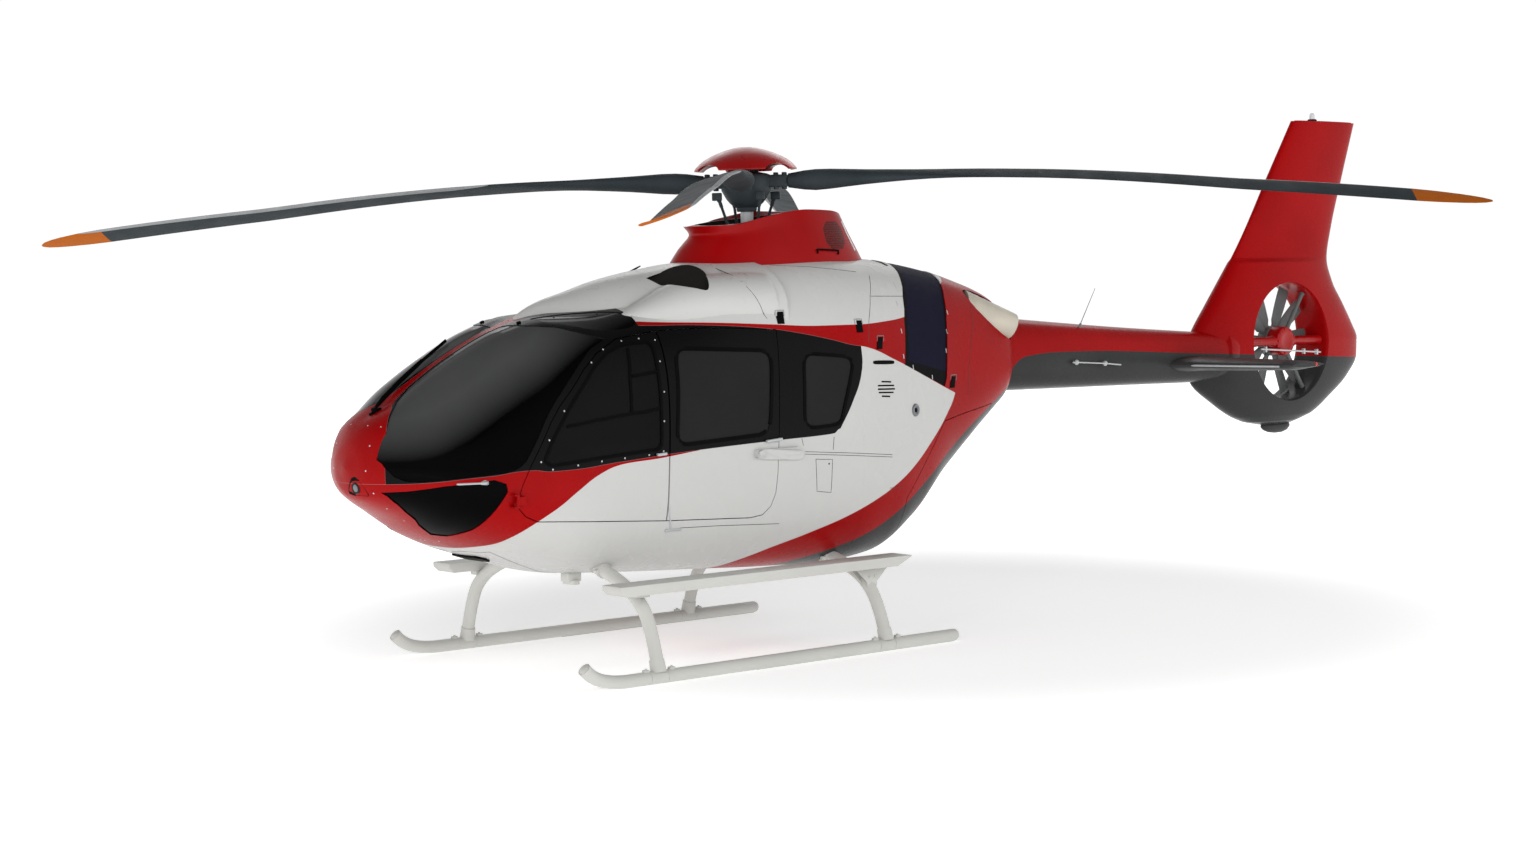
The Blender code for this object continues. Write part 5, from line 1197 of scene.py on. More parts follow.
def make_gear():
    for name, x, leg in (("front", FRONT_CROSS_X, FRONT_LEG), ("rear", REAR_CROSS_X, REAR_LEG)):
        stand_in(f"cross_tube_skin_{name}", tube("cross", cross_path(x, leg), 0.0445, 32), gear_white,
                 f"cross_tube_{name}")
    for side in (1, -1):
        name = "left" if side > 0 else "right"
        toe = smooth_path([(x + MAST_X, side * SKID_Y, z) for x, z in SKID_TIP], 5)
        path = toe + [(x + MAST_X, side * SKID_Y, 0.0435) for x in (1.0, 0.0, SKID_REAR)]
        toe_way = (Vector(path[0]) - Vector(path[1])).normalized()
        caps = [(0.0435, 0.0), (0.041, 0.014), (0.034, 0.026), (0.022, 0.034), (0.008, 0.038)]
        path = [tuple(Vector(path[0]) + toe_way * (out - 0.038)) for _, out in reversed(caps)] + path[1:]
        path[-1] = (SKID_REAR + MAST_X + 0.038, path[-1][1], path[-1][2])
        path += [(SKID_REAR + MAST_X + 0.038 - out, path[-1][1], path[-1][2]) for _, out in caps[1:]]
        radii = [r for r, _ in reversed(caps)] + [0.0435] * (len(path) - 9) + [r for r, _ in caps[1:]]
        parts = [tube("skid", path, radii, 32)]
        for x in (FRONT_CROSS_X, REAR_CROSS_X):
            for near, far in ((-0.085, -0.055), (0.055, 0.085)):
                ends = [(x + MAST_X + near, side * SKID_Y, 0.0435), (x + MAST_X + far, side * SKID_Y, 0.0435)]
                parts.append(tube("clamp", ends, 0.0475, 32, 0.913))
            foot = FRONT_LEG[0] if x == FRONT_CROSS_X else REAR_LEG[0]
            ends = [(x + MAST_X, side * 1.099, 0.07), (x + MAST_X, side * 1.078, 0.155)]
            parts.append(tube("sleeve", ends, [0.054, 0.050], 32))
        parts.append(plate("shoe", [(SKID_REAR + 0.05 + MAST_X, side * 1.078), (0.9 + MAST_X, side * 1.078),
                                    (0.9 + MAST_X, side * 1.122), (SKID_REAR + 0.05 + MAST_X, side * 1.122)],
                           0.0, 0.006, "plan"))
        stand_in(f"skid_skin_{name}", joined("skid", parts), gear_white, f"skid_{name}")
        low, high = sorted((side * 0.880, side * 1.085))
        board = [(2.000, 0.645), (2.000, 0.612), (1.960, 0.577), (-0.430, 0.577), (-0.560, 0.635), (-0.560, 0.645)]
        parts = [plate("board", [(x + MAST_X, z) for x, z in board], low, high, "side", 0.004)]
        low, high = sorted((side * 0.885, side * 0.893))
        gusset = [(-0.165, 0.577), (-0.045, 0.470), (-0.045, 0.435), (0.045, 0.435), (0.045, 0.470), (0.165, 0.577)]
        for shift in (0.0, 0.062):
            flange = [(x + MAST_X + REAR_CROSS_X, z) for x, z in gusset]
            near, far = sorted((side * (0.893 + shift), side * (0.900 + shift)))
            parts.append(plate("gusset", flange, near, far, "side", 0.002))
        for dx, z in ((-0.090, 0.560), (-0.030, 0.560), (0.030, 0.560), (0.090, 0.560), (-0.025, 0.505),
                      (0.025, 0.505), (0.0, 0.455)):
            spot = Matrix.Translation((REAR_CROSS_X + MAST_X + dx, side * 0.962, z))
            spot = spot @ Matrix.Rotation(-side * math.pi / 2, 4, "X")
            parts.append(lathe("bolt", [(0, 0.007), (0.008, 0.007), (0.009, 0.0), (0, 0.0)], 8, spot))
        for x in (FRONT_CROSS_X, REAR_CROSS_X):
            parts.append(plate("saddle", [(x + MAST_X + a, z) for a, z in ((-0.055, 0.577), (-0.048, 0.545), (0.048, 0.545),
                                                                       (0.055, 0.577))],
                               *sorted((side * 0.890, side * 0.960)), "side", 0.003))
        stand_in(f"step_skin_{name}", joined("step", parts), gear_white, f"step_{name}")


def make_exhausts():
    for side in (1, -1):
        name = "left" if side > 0 else "right"
        node = nodes[f"exhaust_{name}"]
        pipe = loose(f"exhaust_skin_{name}", node.data.copy())
        bm = bmesh.new()
        bm.from_mesh(pipe.data)
        bmesh.ops.remove_doubles(bm, verts=bm.verts, dist=0.00001)
        bmesh.ops.dissolve_limit(bm, angle_limit=0.02, verts=bm.verts, edges=bm.edges)
        back = min(v.co.x for v in bm.verts)
        rim = [v.co.copy() for v in bm.verts if v.co.x < back + 0.15]
        core = sum(rim, Vector()) / len(rim)
        for v in bm.verts:
            share = min(max((back + 0.42 - v.co.x) / 0.42, 0.0), 1.0) ** 2
            v.co.z += (core.z - v.co.z) * 0.30 * share - 0.045 * share
            v.co.y += (core.y - v.co.y) * 0.16 * share
        bm.to_mesh(pipe.data)
        bm.free()
        edges = pipe.modifiers.new("edges", "BEVEL")
        edges.width = 0.006
        edges.segments = 3
        edges.limit_method = "ANGLE"
        edges.angle_limit = math.radians(40)
        settled(pipe)
        pipe.data.materials.clear()
        evened(pipe, 50.0)
        stand_in(pipe.name, pipe, exhaust_beige, f"exhaust_{name}")


def tree_of(*names):
    """A search tree over pieces of the scene, in row coordinates."""
    points, faces = [], []
    for name in names:
        obj = bpy.data.objects[name]
        start = len(points)
        points += [obj.matrix_world @ v.co for v in obj.data.vertices]
        faces += [[start + i for i in p.vertices] for p in obj.data.polygons]
    return BVHTree.FromPolygons(points, faces)


def cast(tree, start, way):
    """The first point a ray meets, with its normal turned to face the ray."""
    way = Vector(way)
    place, normal, _, _ = tree.ray_cast(Vector(start), way)
    if place is None:
        place, normal, _, _ = tree.find_nearest(Vector(start) + way * 2.4)
    return place, (-normal if normal.dot(way) > 0 else normal)


def on_side(tree, outline, side, step=0.03, closed=False):
    return [cast(tree, (x + MAST_X, side * 3.0, z), (0, -side, 0)) for x, z in dense(outline, step, closed)]


def strip(path, width, rise=0.001, depth=0.003, closed=False):
    """A flat strip lying along a path of points and normals."""
    rings = []
    count = len(path)
    for k, (place, normal) in enumerate(path):
        ahead = path[(k + 1) % count][0] if closed or k < count - 1 else place
        behind = path[k - 1][0] if closed or k > 0 else place
        across = normal.cross(ahead - behind).normalized() * (width / 2)
        rings.append([place - across + normal * rise, place + across + normal * rise,
                      place + across - normal * depth, place - across - normal * depth])
    if closed:
        rings.append(rings[0])
    return loft("strip", rings, 30.0, not closed)


def patch(path, rise=0.002, depth=0.003, inset=0.0):
    """A plate that follows the surface inside a closed path of points and normals."""
    middle = sum((p for p, _ in path), Vector()) / len(path)
    rings = [[p - n * depth for p, n in path], [p + n * rise for p, n in path]]
    if inset:
        rings.append([p + (middle - p).normalized() * inset + n * (rise + inset) for p, n in path])
    return loft("patch", rings, 30.0)


def rivets(spots, radius=0.005, height=0.0016):
    parts = []
    for place, normal in spots:
        matrix = frame_at(place, normal, (0.3, 0.2, 1.0))
        parts.append(lathe("rivet", [(0, height), (radius * 0.6, height * 0.85), (radius, 0.0), (radius, -0.002),
                                     (0, -0.002)], 8, matrix))
    return parts


def oval(x, z, half, tall, tilt=0.0, steps=20, power=0.6):
    """A rounded outline in side view around a place."""
    out = []
    for t in turns(steps):
        a, b = half * signed_power(math.cos(t), power), tall * signed_power(math.sin(t), power)
        out.append((x + a * math.cos(tilt) - b * math.sin(tilt), z + a * math.sin(tilt) + b * math.cos(tilt)))
    return out


# Fine panel seams in side view, on both sides
SEAMS = (
    ((0.566, 2.669), (0.567, 2.616), (0.540, 2.538), (0.469, 2.422), (0.404, 2.318)),
    ((-0.744, 2.601), (-0.634, 2.455), (-0.543, 2.284), (-0.500, 2.130)),
    ((0.104, 2.685), (-0.221, 2.668), (-0.622, 2.629)),
    ((-0.643, 2.455), (-1.030, 2.448)),
    ((-1.914, 2.367), (-1.862, 2.219), (-1.792, 2.090), (-1.738, 1.906), (-1.715, 1.712)),
    ((-0.113, 1.484), (-0.102, 1.395)),
    ((0.190, 1.490), (0.176, 1.440)),
    ((-0.686, 1.087), (-0.855, 1.077)),
    ((0.161, 1.397), (-0.300, 1.361), (-0.707, 1.325)),
    ((0.161, 1.380), (-0.300, 1.344), (-0.707, 1.308)),
    ((1.250, 0.949), (0.903, 0.938), (0.376, 0.912)),
    ((0.062, 1.339), (-0.095, 1.329), (-0.081, 1.098), (0.052, 1.115), (0.062, 1.339)),
)
VENT = ((-0.605, -0.714, 1.847), (-0.562, -0.747, 1.820), (-0.561, -0.754, 1.795), (-0.568, -0.736, 1.771),
        (-0.601, -0.695, 1.744))
# Black latches along the engine cowling: middle and lean
LATCHES = ((0.292, 2.322, 0.0), (-0.429, 2.245, 0.0), (-0.622, 2.122, -0.25), (-1.502, 1.808, -0.25))
NOSE_RIVETS = ((3.234, 0.100, 1.702), (3.209, 0.213, 1.698), (3.282, 0.196, 1.582), (3.312, 0.190, 1.426),
               (3.270, 0.210, 1.286), (3.159, 0.181, 1.178), (3.024, 0.164, 1.088), (2.893, 0.156, 1.007),
               (2.780, 0.025, 0.937), (2.772, 0.177, 0.941))
WINDOW_RIVETS = ((1.615, 2.200), (1.473, 2.212), (1.352, 2.200), (1.391, 1.667), (1.405, 1.470), (1.526, 1.452),
                 (1.726, 1.443), (1.913, 1.433), (2.101, 1.418), (2.294, 1.402), (2.380, 1.455), (2.310, 1.590),
                 (2.180, 1.770), (1.910, 2.070), (1.785, 2.150), (1.365, 2.060), (1.372, 1.860))
SCREEN_DASHES = ((-0.925, 2.400), (-0.900, 2.200), (-0.885, 2.020), (-1.000, 1.938), (-1.240, 1.855),
                 (-1.560, 2.320), (-1.500, 2.180), (-1.455, 2.040), (-0.990, 2.530))


def make_seams(tree):
    parts = []
    for side in (1, -1):
        for line in SEAMS:
            parts.append(strip(on_side(tree, line, side), 0.0035))
    for side in (1, -1):
        line = [(2.580, 0.030), (2.590, 0.200), (2.520, 0.380), (2.400, 0.345), (2.240, 0.285), (2.080, 0.257),
                (1.900, 0.250)]
        path = [cast(tree, (x + MAST_X, side * y, 0.0), (0, 0, 1)) for x, y in dense(line, 0.03, False)]
        parts.append(strip(path, 0.0035))
    add("panel_seams", joined("seams", parts), seam_dark)


def make_fittings(tree):
    """Vents, latches, hatch lock and fastener heads on the skin."""
    dark, light, metal = [], [], []
    for side in (1, -1):
        for front, back, z in VENT:
            line = [(front, z + 0.003), (back, z - 0.003)]
            dark.append(strip(on_side(tree, line, side), 0.011, 0.0015))
        dark.append(patch(on_side(tree, oval(-0.646, 1.985, 0.120, 0.014, 0.03, 24, 0.5), side, 9), 0.003))
        for x, z, lean in LATCHES:
            corners = [(x + a + b * lean, z + b) for a, b in ((-0.030, -0.042), (0.030, -0.042), (0.030, 0.010),
                                                              (0.018, 0.014), (0.018, 0.042), (-0.030, 0.042))]
            dark.append(patch(on_side(tree, corners, side, 9), 0.004, 0.004, 0.002))
            rim = [(x + a + (b + 0.03) * lean, z + b) for a, b in ((-0.038, 0.010), (-0.038, 0.052), (0.036, 0.052),
                                                                   (0.036, 0.018))]
            metal.append(strip(on_side(tree, rim, side, 0.02), 0.005, 0.0012))
        place, normal = on_side(tree, [(-0.998, 1.628)], side)[0]
        matrix = frame_at(place, normal)
        metal.append(lathe("port", [(0, 0.004), (0.020, 0.004), (0.026, 0.010), (0.040, 0.010), (0.046, 0.004),
                                    (0.048, -0.004), (0, -0.004)], 32, matrix))
        dark.append(lathe("port", [(0, 0.0065), (0.016, 0.0065), (0.019, 0.003), (0, 0.003)], 24, matrix))
        dark += rivets([on_side(tree, [(-0.062, 1.300)], side)[0]], 0.007)
        light += rivets([on_side(tree, [spot], side)[0] for spot in WINDOW_RIVETS], 0.0065)
        light += rivets([on_side(tree, [spot], side)[0] for spot in ((1.440, 1.096), (1.440, 1.062), (-1.359, 1.750),
                                                                     (-0.555, 1.651))], 0.005)
        for x, y, z in NOSE_RIVETS:
            place, normal, _, _ = tree.find_nearest(Vector((x + MAST_X, side * y, z)))
            light += rivets([(place, normal if normal.x > 0 else -normal)], 0.006)
        for x, z in SCREEN_DASHES:
            light.append(strip(on_side(tree, [(x, z + 0.016), (x - 0.002, z - 0.016)], side), 0.009, 0.0016))
    add("dark_fittings", joined("dark", dark), rubber)
    add("fastener_heads", joined("light", light), light_metal)
    add("fitting_rims", joined("metal", metal), grey_metal)


def make_side_trim(tree):
    """Rail covers, door handles, window seals and steps of the sliding doors' tracks."""
    for side in (1, -1):
        name = "left" if side > 0 else "right"
        cover = patch(on_side(tree, oval(0.400, 1.392, 0.212, 0.037, 0.072, 36, 0.45), side, 9), 0.014, 0.010, 0.006)
        knob = on_side(tree, oval(0.590, 1.404, 0.030, 0.030, 0.0, 20, 1.0), side, 9)
        add(f"rail_cover_{name}", joined("cover", [cover, patch(knob, 0.021, 0.0, 0.004)]), white_paint)
        for part, body, start, end, z0, z1 in (("pilot", f"pilot_door_{name}", 1.470, 1.392, 1.450, 1.454),
                                               ("cabin", "airframe", 0.524, 0.384, 1.488, 1.498)):
            place, normal = on_side(tree, [((start + end) / 2, (z0 + z1) / 2)], side)[0]
            matrix = frame_at(place, normal, (end - start, 0, z1 - z0))
            half = abs(start - end) / 2
            grip = [block("grip", (-half, -0.010, 0.012), (half, 0.010, 0.026), 0.006, matrix)]
            for x in (-half + 0.014, half - 0.014):
                grip.append(block("foot", (x - 0.010, -0.009, -0.003), (x + 0.010, 0.009, 0.014), 0.004, matrix))
            add(f"handle_{part}_{name}", joined("handle", grip), light_metal, body)
        step = []
        place, normal = on_side(tree, [(1.315, 0.940)], side)[0]
        matrix = frame_at(place, normal)
        step.append(block("plate", (-0.075, -0.010, -0.003), (0.060, 0.010, 0.007), 0.003, matrix))
        step.append(strip(on_side(tree, [(1.362, 1.100), (1.352, 1.035), (1.330, 0.955)], side), 0.010, 0.004))
        add(f"track_end_{name}", joined("step", step), light_metal)
        for piece, body, outline, width in (("pilot", f"pilot_door_{name}", PILOT_WINDOW, 0.020),
                                            ("cabin", "airframe", SLIDING_WINDOW, 0.026),
                                            ("quarter", "airframe", QUARTER_WINDOW, 0.024)):
            line = offset_outline(rounded(outline, 0.10 if piece != "pilot" else 0.05, 5), -0.006)
            path = on_side(tree, line, side, 0.03, True)
            add(f"seal_{piece}_{name}", strip(path, width, 0.0035, 0.004, True), rubber, body)
        bars = []
        for line in (((1.415, 1.752), (1.522, 1.735), (1.651, 1.728), (1.950, 1.696), (2.170, 1.668)),
                     ((1.400, 1.995), (1.482, 1.982), (1.612, 1.970)),
                     ((1.590, 2.150), (1.634, 1.947), (1.654, 1.733))):
            bars.append(strip(on_side(tree, line, side), 0.020, 0.006, 0.002))
        add(f"window_bars_{name}", joined("bars", bars), rubber, f"pilot_door_{name}")


def make_nose(tree):
    """Landing lamp, probes, wiper and the plate under the nose."""
    recess = [(-0.010, 1.272), (0.020, 1.330), (0.060, 1.378), (0.092, 1.386), (0.128, 1.366), (0.160, 1.320),
              (0.174, 1.276), (0.160, 1.262), (0.100, 1.266), (0.040, 1.262)]
    path = [cast(tree, (8.0, y, z), (-1, 0, 0)) for y, z in dense(recess, 0.02)]
    add("lamp_recess", patch(path, 0.0015), rubber)
    place, normal = cast(tree, (8.0, 0.085, 1.312), (-1, 0, 0))
    matrix = frame_at(place, normal)
    bezel = lathe("bezel", [(0, 0.002), (0.024, 0.002), (0.028, 0.006), (0.034, 0.006), (0.037, 0.001),
                            (0.037, -0.004), (0, -0.004)], 40, matrix)
    add("lamp_bezel", bezel, cabin_black)
    glass_dome = lathe("lens", [(0, 0.0075), (0.012, 0.0070), (0.020, 0.0050), (0.025, 0.0025), (0, 0.0025)], 32, matrix)
    add("lamp_lens", glass_dome, grey_metal)
    for side in (1, -1):
        name = "left" if side > 0 else "right"
        place, normal = on_side(tree, [(2.762, 1.346)], side)[0]
        base = place + normal * 0.030
        ahead = Vector((0.215, -side * 0.020, 0.004))
        path = [place - normal * 0.004, place + normal * 0.020, base + ahead * 0.06, base + ahead * 0.2,
                base + ahead * 0.22, base + ahead * 0.95, base + ahead]
        probe = tube("probe", path, [0.014, 0.012, 0.011, 0.010, 0.0065, 0.0065, 0.004], 16)
        foot = patch([(place + normal * 0.001 + p, normal) for p in
                      [Vector((0.034 * math.cos(t), 0, 0.016 * math.sin(t))) for t in turns(20)]], 0.004)
        add(f"probe_{name}", joined("probe", [probe, foot]), light_metal)
    line = [(3.070, -0.030, 1.80), (2.930, -0.055, 1.90), (2.663, -0.110, 2.064), (2.450, -0.170, 2.180)]
    top = [roof_point(x, y, 0.018)[0] for x, y, _ in line]
    pivot, normal = roof_point(3.115, 0.000, 0.0)
    arm = [pivot + normal * 0.020, roof_point(3.020, -0.040, 0.034)[0], roof_point(2.860, -0.066, 0.032)[0],
           roof_point(2.680, -0.105, 0.028)[0]]
    matrix = frame_at(pivot, normal, (1.0, 0.1, 0.0))
    parts = [tube("blade", top, 0.0075, 8, 1.6), tube("arm", arm, [0.012, 0.010, 0.008, 0.007], 10),
             lathe("foot", [(0, 0.034), (0.016, 0.034), (0.020, 0.028), (0.022, -0.004), (0, -0.004)], 20, matrix),
             block("foot", (-0.045, -0.018, -0.004), (0.045, 0.018, 0.014), 0.006, matrix)]
    add("wiper", joined("wiper", parts), rubber)
    path = [cast(tree, (x + MAST_X, y, 0.0), (0, 0, 1)) for x, y in
            dense([(2.49, -0.10), (2.49, 0.16), (2.43, 0.20), (2.37, 0.16), (2.37, -0.10)], 0.03)]
    add("nose_plate", patch(path, 0.012, 0.003, 0.003), rubber)
    screws = rivets([roof_point(1.932, side * 0.315, 0.001) for side in (1, -1)]
                    + [roof_point(1.610, side * 0.358, 0.001) for side in (1, -1)], 0.007, 0.003)
    for side in (1, -1):
        place, normal = roof_point(2.140, side * 0.212)
        screws.append(block("knob", (-0.014, -0.010, -0.002), (0.014, 0.010, 0.012), 0.004, frame_at(place, normal)))
    add("roof_knobs", joined("knobs", screws), rubber)


def make_antennas(tree):
    parts = []
    for side in (1, -1):
        path = on_side(tree, [(-3.100, 1.896), (-3.144, 1.896), (-3.494, 1.876), (-3.690, 1.858)], side, 9)
        rod = [p + n * 0.032 for p, n in path]
        parts.append(tube("rod", [rod[0], rod[1], rod[2], rod[3]], 0.0060, 10))
        for spot in (1, 2):
            matrix = frame_at(path[spot][0], path[spot][1])
            parts.append(lathe("bead", [(0, 0.050), (0.012, 0.047), (0.020, 0.038), (0.022, 0.030), (0.019, 0.022),
                                        (0.011, 0.016), (0.009, -0.004), (0, -0.004)], 24, matrix))
    add("boom_rods", joined("rods", parts), light_metal)
    place, normal = cast(tree, (-3.313 + MAST_X, 0.150, 4.0), (0, 0, -1))
    tip = Vector((-3.493 + MAST_X, 0.160, 2.470))
    whip = tube("whip", [place - normal * 0.004, place + normal * 0.030, place.lerp(tip, 0.12), tip],
                [0.012, 0.010, 0.0035, 0.0022], 10)
    add("whip_antenna", whip, grey_metal)
    cx, _, cz = FAN_CENTRE
    fan_rod = [(cx + MAST_X + 0.395, 0.158, cz - 0.058), (cx + MAST_X - 0.300, 0.158, cz - 0.100),
               (cx + MAST_X - 0.420, 0.158, cz - 0.107)]
    ends = [tube("rod", fan_rod, 0.0075, 12)]
    for share in (0.08, 0.72, 0.94):
        spot = Vector(fan_rod[0]).lerp(Vector(fan_rod[2]), share)
        ends.append(block("lug", (-0.010, -0.020, -0.024), (0.010, 0.010, 0.024), 0.004, Matrix.Translation(spot)))
    add("fan_control_rod", joined("rod", ends), light_metal)
    plate_top = [(MAST_X - 6.640 + 0.40 * math.cos(t), 0.052 * math.sin(t)) for t in turns(48)]
    add("fin_top", plate("cap", plate_top, 3.874, 3.886, "plan", 0.003), red_paint)
    strobe = Matrix.Translation((MAST_X - 6.486, 0.0, 3.886))
    base = lathe("base", [(0, 0.016), (0.034, 0.016), (0.040, 0.010), (0.042, 0.0), (0, 0.0)], 28, strobe)
    add("strobe_base", base, rubber)
    lens_shape = [(0, 0.072), (0.012, 0.070), (0.020, 0.062), (0.024, 0.048), (0.024, 0.016), (0, 0.016)]
    add("strobe_lens", lathe("lens", lens_shape, 24, strobe), clear_lens_and_highlight)
    for side in (1, -1):
        name = "left" if side > 0 else "right"
        spot = Matrix.Translation((-5.005 + MAST_X, side * 1.166, STABILISER_Z + 0.002))
        spot = spot @ Matrix.Rotation(-side * math.pi / 2, 4, "X")
        shape = [(0, 0.018), (0.010, 0.016), (0.017, 0.008), (0.018, -0.010), (0, -0.010)]
        add(f"stabiliser_lamp_{name}", lathe("lamp", shape, 20, spot), red_lens)
        edge = [(read_table(STABILISER, y)[0] + MAST_X - 0.004, side * y, STABILISER_Z - 0.004)
                for y in spread(0.30, 1.12, 8)]
        add(f"stabiliser_edge_{name}", tube("edge", edge, 0.008, 10), light_metal)


def make_cowl_top(tree):
    """Small inlet and brackets on the upper cowling, and glowing strips on the fairing's back edge that are painted
    highlights.
    """
    dark = []
    for side in (1, -1):
        line = [(-1.055, 0.165), (-1.110, 0.175), (-1.112, 0.285), (-1.085, 0.285)]
        path = [cast(tree, (x + MAST_X, side * y, 4.0), (0, 0, -1)) for x, y in dense(line, 0.02)]
        dark.append(patch(path, 0.003))
        low = [(-0.358, 2.790), (-0.470, 2.786), (-0.575, 2.782)]
        path = [cast(tree, (x + MAST_X, side * 3.0, z), (0, -side, 0)) for x, z in low]
        dark.append(tube("bar", [p + n * 0.012 for p, n in path], 0.006, 8))
        for spot in (0, 2):
            place, normal = path[spot]
            dark.append(tube("bar", [place - normal * 0.002, place + normal * 0.012, place + normal * 0.012
                                     + Vector((0, 0, -0.030))], 0.006, 8))
    add("cowl_details", joined("dark", dark), rubber)
    # Glowing pale strips on each side of the fairing's back edge are painted highlights.
    highlight_strips = []
    for side in (1, -1):
        path = [cast(tree, (-3.0 + MAST_X, side * y, z), (1, 0, 0)) for y, z in dense([(0.184, 2.998), (0.236, 2.784)],
                                                                                       0.03, False)]
        highlight_strips.append(strip(path, 0.020, 0.003))
    add("fairing_edge_highlights", joined("lights", highlight_strips), clear_lens_and_highlight)


def make_gear_details():
    """Saddles that hold the cross tubes under the belly, and lugs on the skids."""
    parts = []
    for x, leg in ((FRONT_CROSS_X, FRONT_LEG), (REAR_CROSS_X, REAR_LEG)):
        path = [Vector(p) for p in cross_path(x, leg)]
        for side in (1, -1):
            near = [p for p in path if 0.36 < side * p.y < 0.60]
            near = sorted(near, key=lambda p: abs(p.y))
            a, b = near[0], near[-1]
            for share in (0.10, 0.55):
                start, end = a.lerp(b, share), a.lerp(b, share + 0.16)
                parts.append(tube("strap", [start, end], 0.053, 28))
                way = (end - start).normalized()
                matrix = frame_at((start + end) / 2 + Vector((0, 0, -0.004)), way, (1, 0, 0))
                parts.append(block("ear", (-0.078, -0.012, -0.016), (0.078, 0.012, 0.016), 0.005, matrix))
            for lug in (-0.105, 0.105):
                spot = Matrix.Translation((x + MAST_X + lug, side * SKID_Y, 0.088))
                parts.append(block("lug", (-0.022, -0.016, -0.010), (0.022, 0.016, 0.012), 0.005, spot))
                parts.append(lathe("bolt", [(0, 0.020), (0.008, 0.020), (0.009, 0.010), (0, 0.010)], 8, spot))
    spot = Matrix.Translation((1.780 + MAST_X, 0.245, 0.632))
    parts.append(block("fitting", (-0.055, -0.045, -0.035), (0.055, 0.045, 0.030), 0.008, spot))
    parts.append(block("fitting", (-0.030, -0.060, -0.055), (0.030, 0.060, -0.020), 0.008, spot))
    add("gear_fittings", joined("fittings", parts), gear_white)


def swell(obj, limit):
    """The cushion blown up by a short cloth simulation, no point moving further than limit."""
    start = [v.co.copy() for v in obj.data.vertices]
    scene = bpy.context.scene
    cloth = obj.modifiers.new("cloth", "CLOTH")
    settings = cloth.settings
    settings.quality = 5
    settings.mass = 0.3
    settings.tension_stiffness = 12.0
    settings.compression_stiffness = 12.0
    settings.shear_stiffness = 4.0
    settings.bending_stiffness = 0.6
    settings.use_pressure = True
    settings.uniform_pressure_force = 4.0
    settings.effector_weights.gravity = 0.0
    cloth.point_cache.frame_start = 1
    cloth.point_cache.frame_end = 20
    for frame_number in range(1, 21):
        scene.frame_set(frame_number)
    settled(obj)
    scene.frame_set(1)
    for vert, old in zip(obj.data.vertices, start):
        moved = vert.co - old
        if moved.length > limit:
            vert.co = old + moved * (limit / moved.length)


def make_cushion(name, size, matrix, channels, limit=0.022):
    """A crowned cushion: X across, Y deep, Z thick, with sewn channels across it."""
    wide, deep, thick = size
    inset = 0.012
    obj = loose(name, block("pad", (-wide / 2 + inset, -deep / 2 + inset, 0.006),
                            (wide / 2 - inset, deep / 2 - inset, thick - inset), thick * 0.30))
    remesh = obj.modifiers.new("even", "REMESH")
    remesh.mode = "VOXEL"
    remesh.voxel_size = 0.011
    settled(obj)
    swell(obj, limit)
    for vert in obj.data.vertices:
        x, y, z = vert.co
        share = min(max(z / thick, 0.0), 1.0)
        for channel in channels:
            groove = math.exp(-((y - channel * deep) / 0.011) ** 2)
            vert.co.z -= groove * 0.012 * share
        welt = abs(z - thick * 0.52)
        if welt < 0.007 and (abs(x) > wide / 2 - 0.05 or abs(y) > deep / 2 - 0.05):
            vert.co.x += math.copysign(0.004 * (1 - welt / 0.007), x) if abs(x) > wide / 2 - 0.05 else 0.0
            vert.co.y += math.copysign(0.004 * (1 - welt / 0.007), y) if abs(y) > deep / 2 - 0.05 else 0.0
        vert.co.z = max(vert.co.z, 0.0)
    fine = obj.modifiers.new("fine", "SUBSURF")
    fine.levels = 1
    fine.render_levels = 1
    settled(obj)
    obj.data.transform(matrix)
    obj.data.shade_smooth()
    obj.data.materials.clear()
    add(name, obj, seat_cloth, "airframe")
    return obj


def seat_frame(x, y, z, lean):
    """A matrix at a place whose Y runs up along a back leaning by lean, and whose Z faces forward."""
    up = Vector((-math.sin(lean), 0, math.cos(lean)))
    ahead = Vector((math.cos(lean), 0, math.sin(lean)))
    return Matrix.Translation((x + MAST_X, y, z)) @ Matrix((Vector((0, 1, 0)), up, ahead)).transposed().to_4x4()


def make_belt(points, tree, width=0.044):
    """Flat webbing laid over the cushions through points."""
    path = []
    for p in smooth_path([(x + MAST_X, y, z) for x, y, z in points], 6):
        place, normal, _, _ = tree.find_nearest(Vector(p))
        outward = Vector(p) - place
        if outward.dot(normal) < 0:
            normal = -normal
        path.append((place + normal * 0.004, normal))
    return strip(path, width, 0.0015, 0.0015)


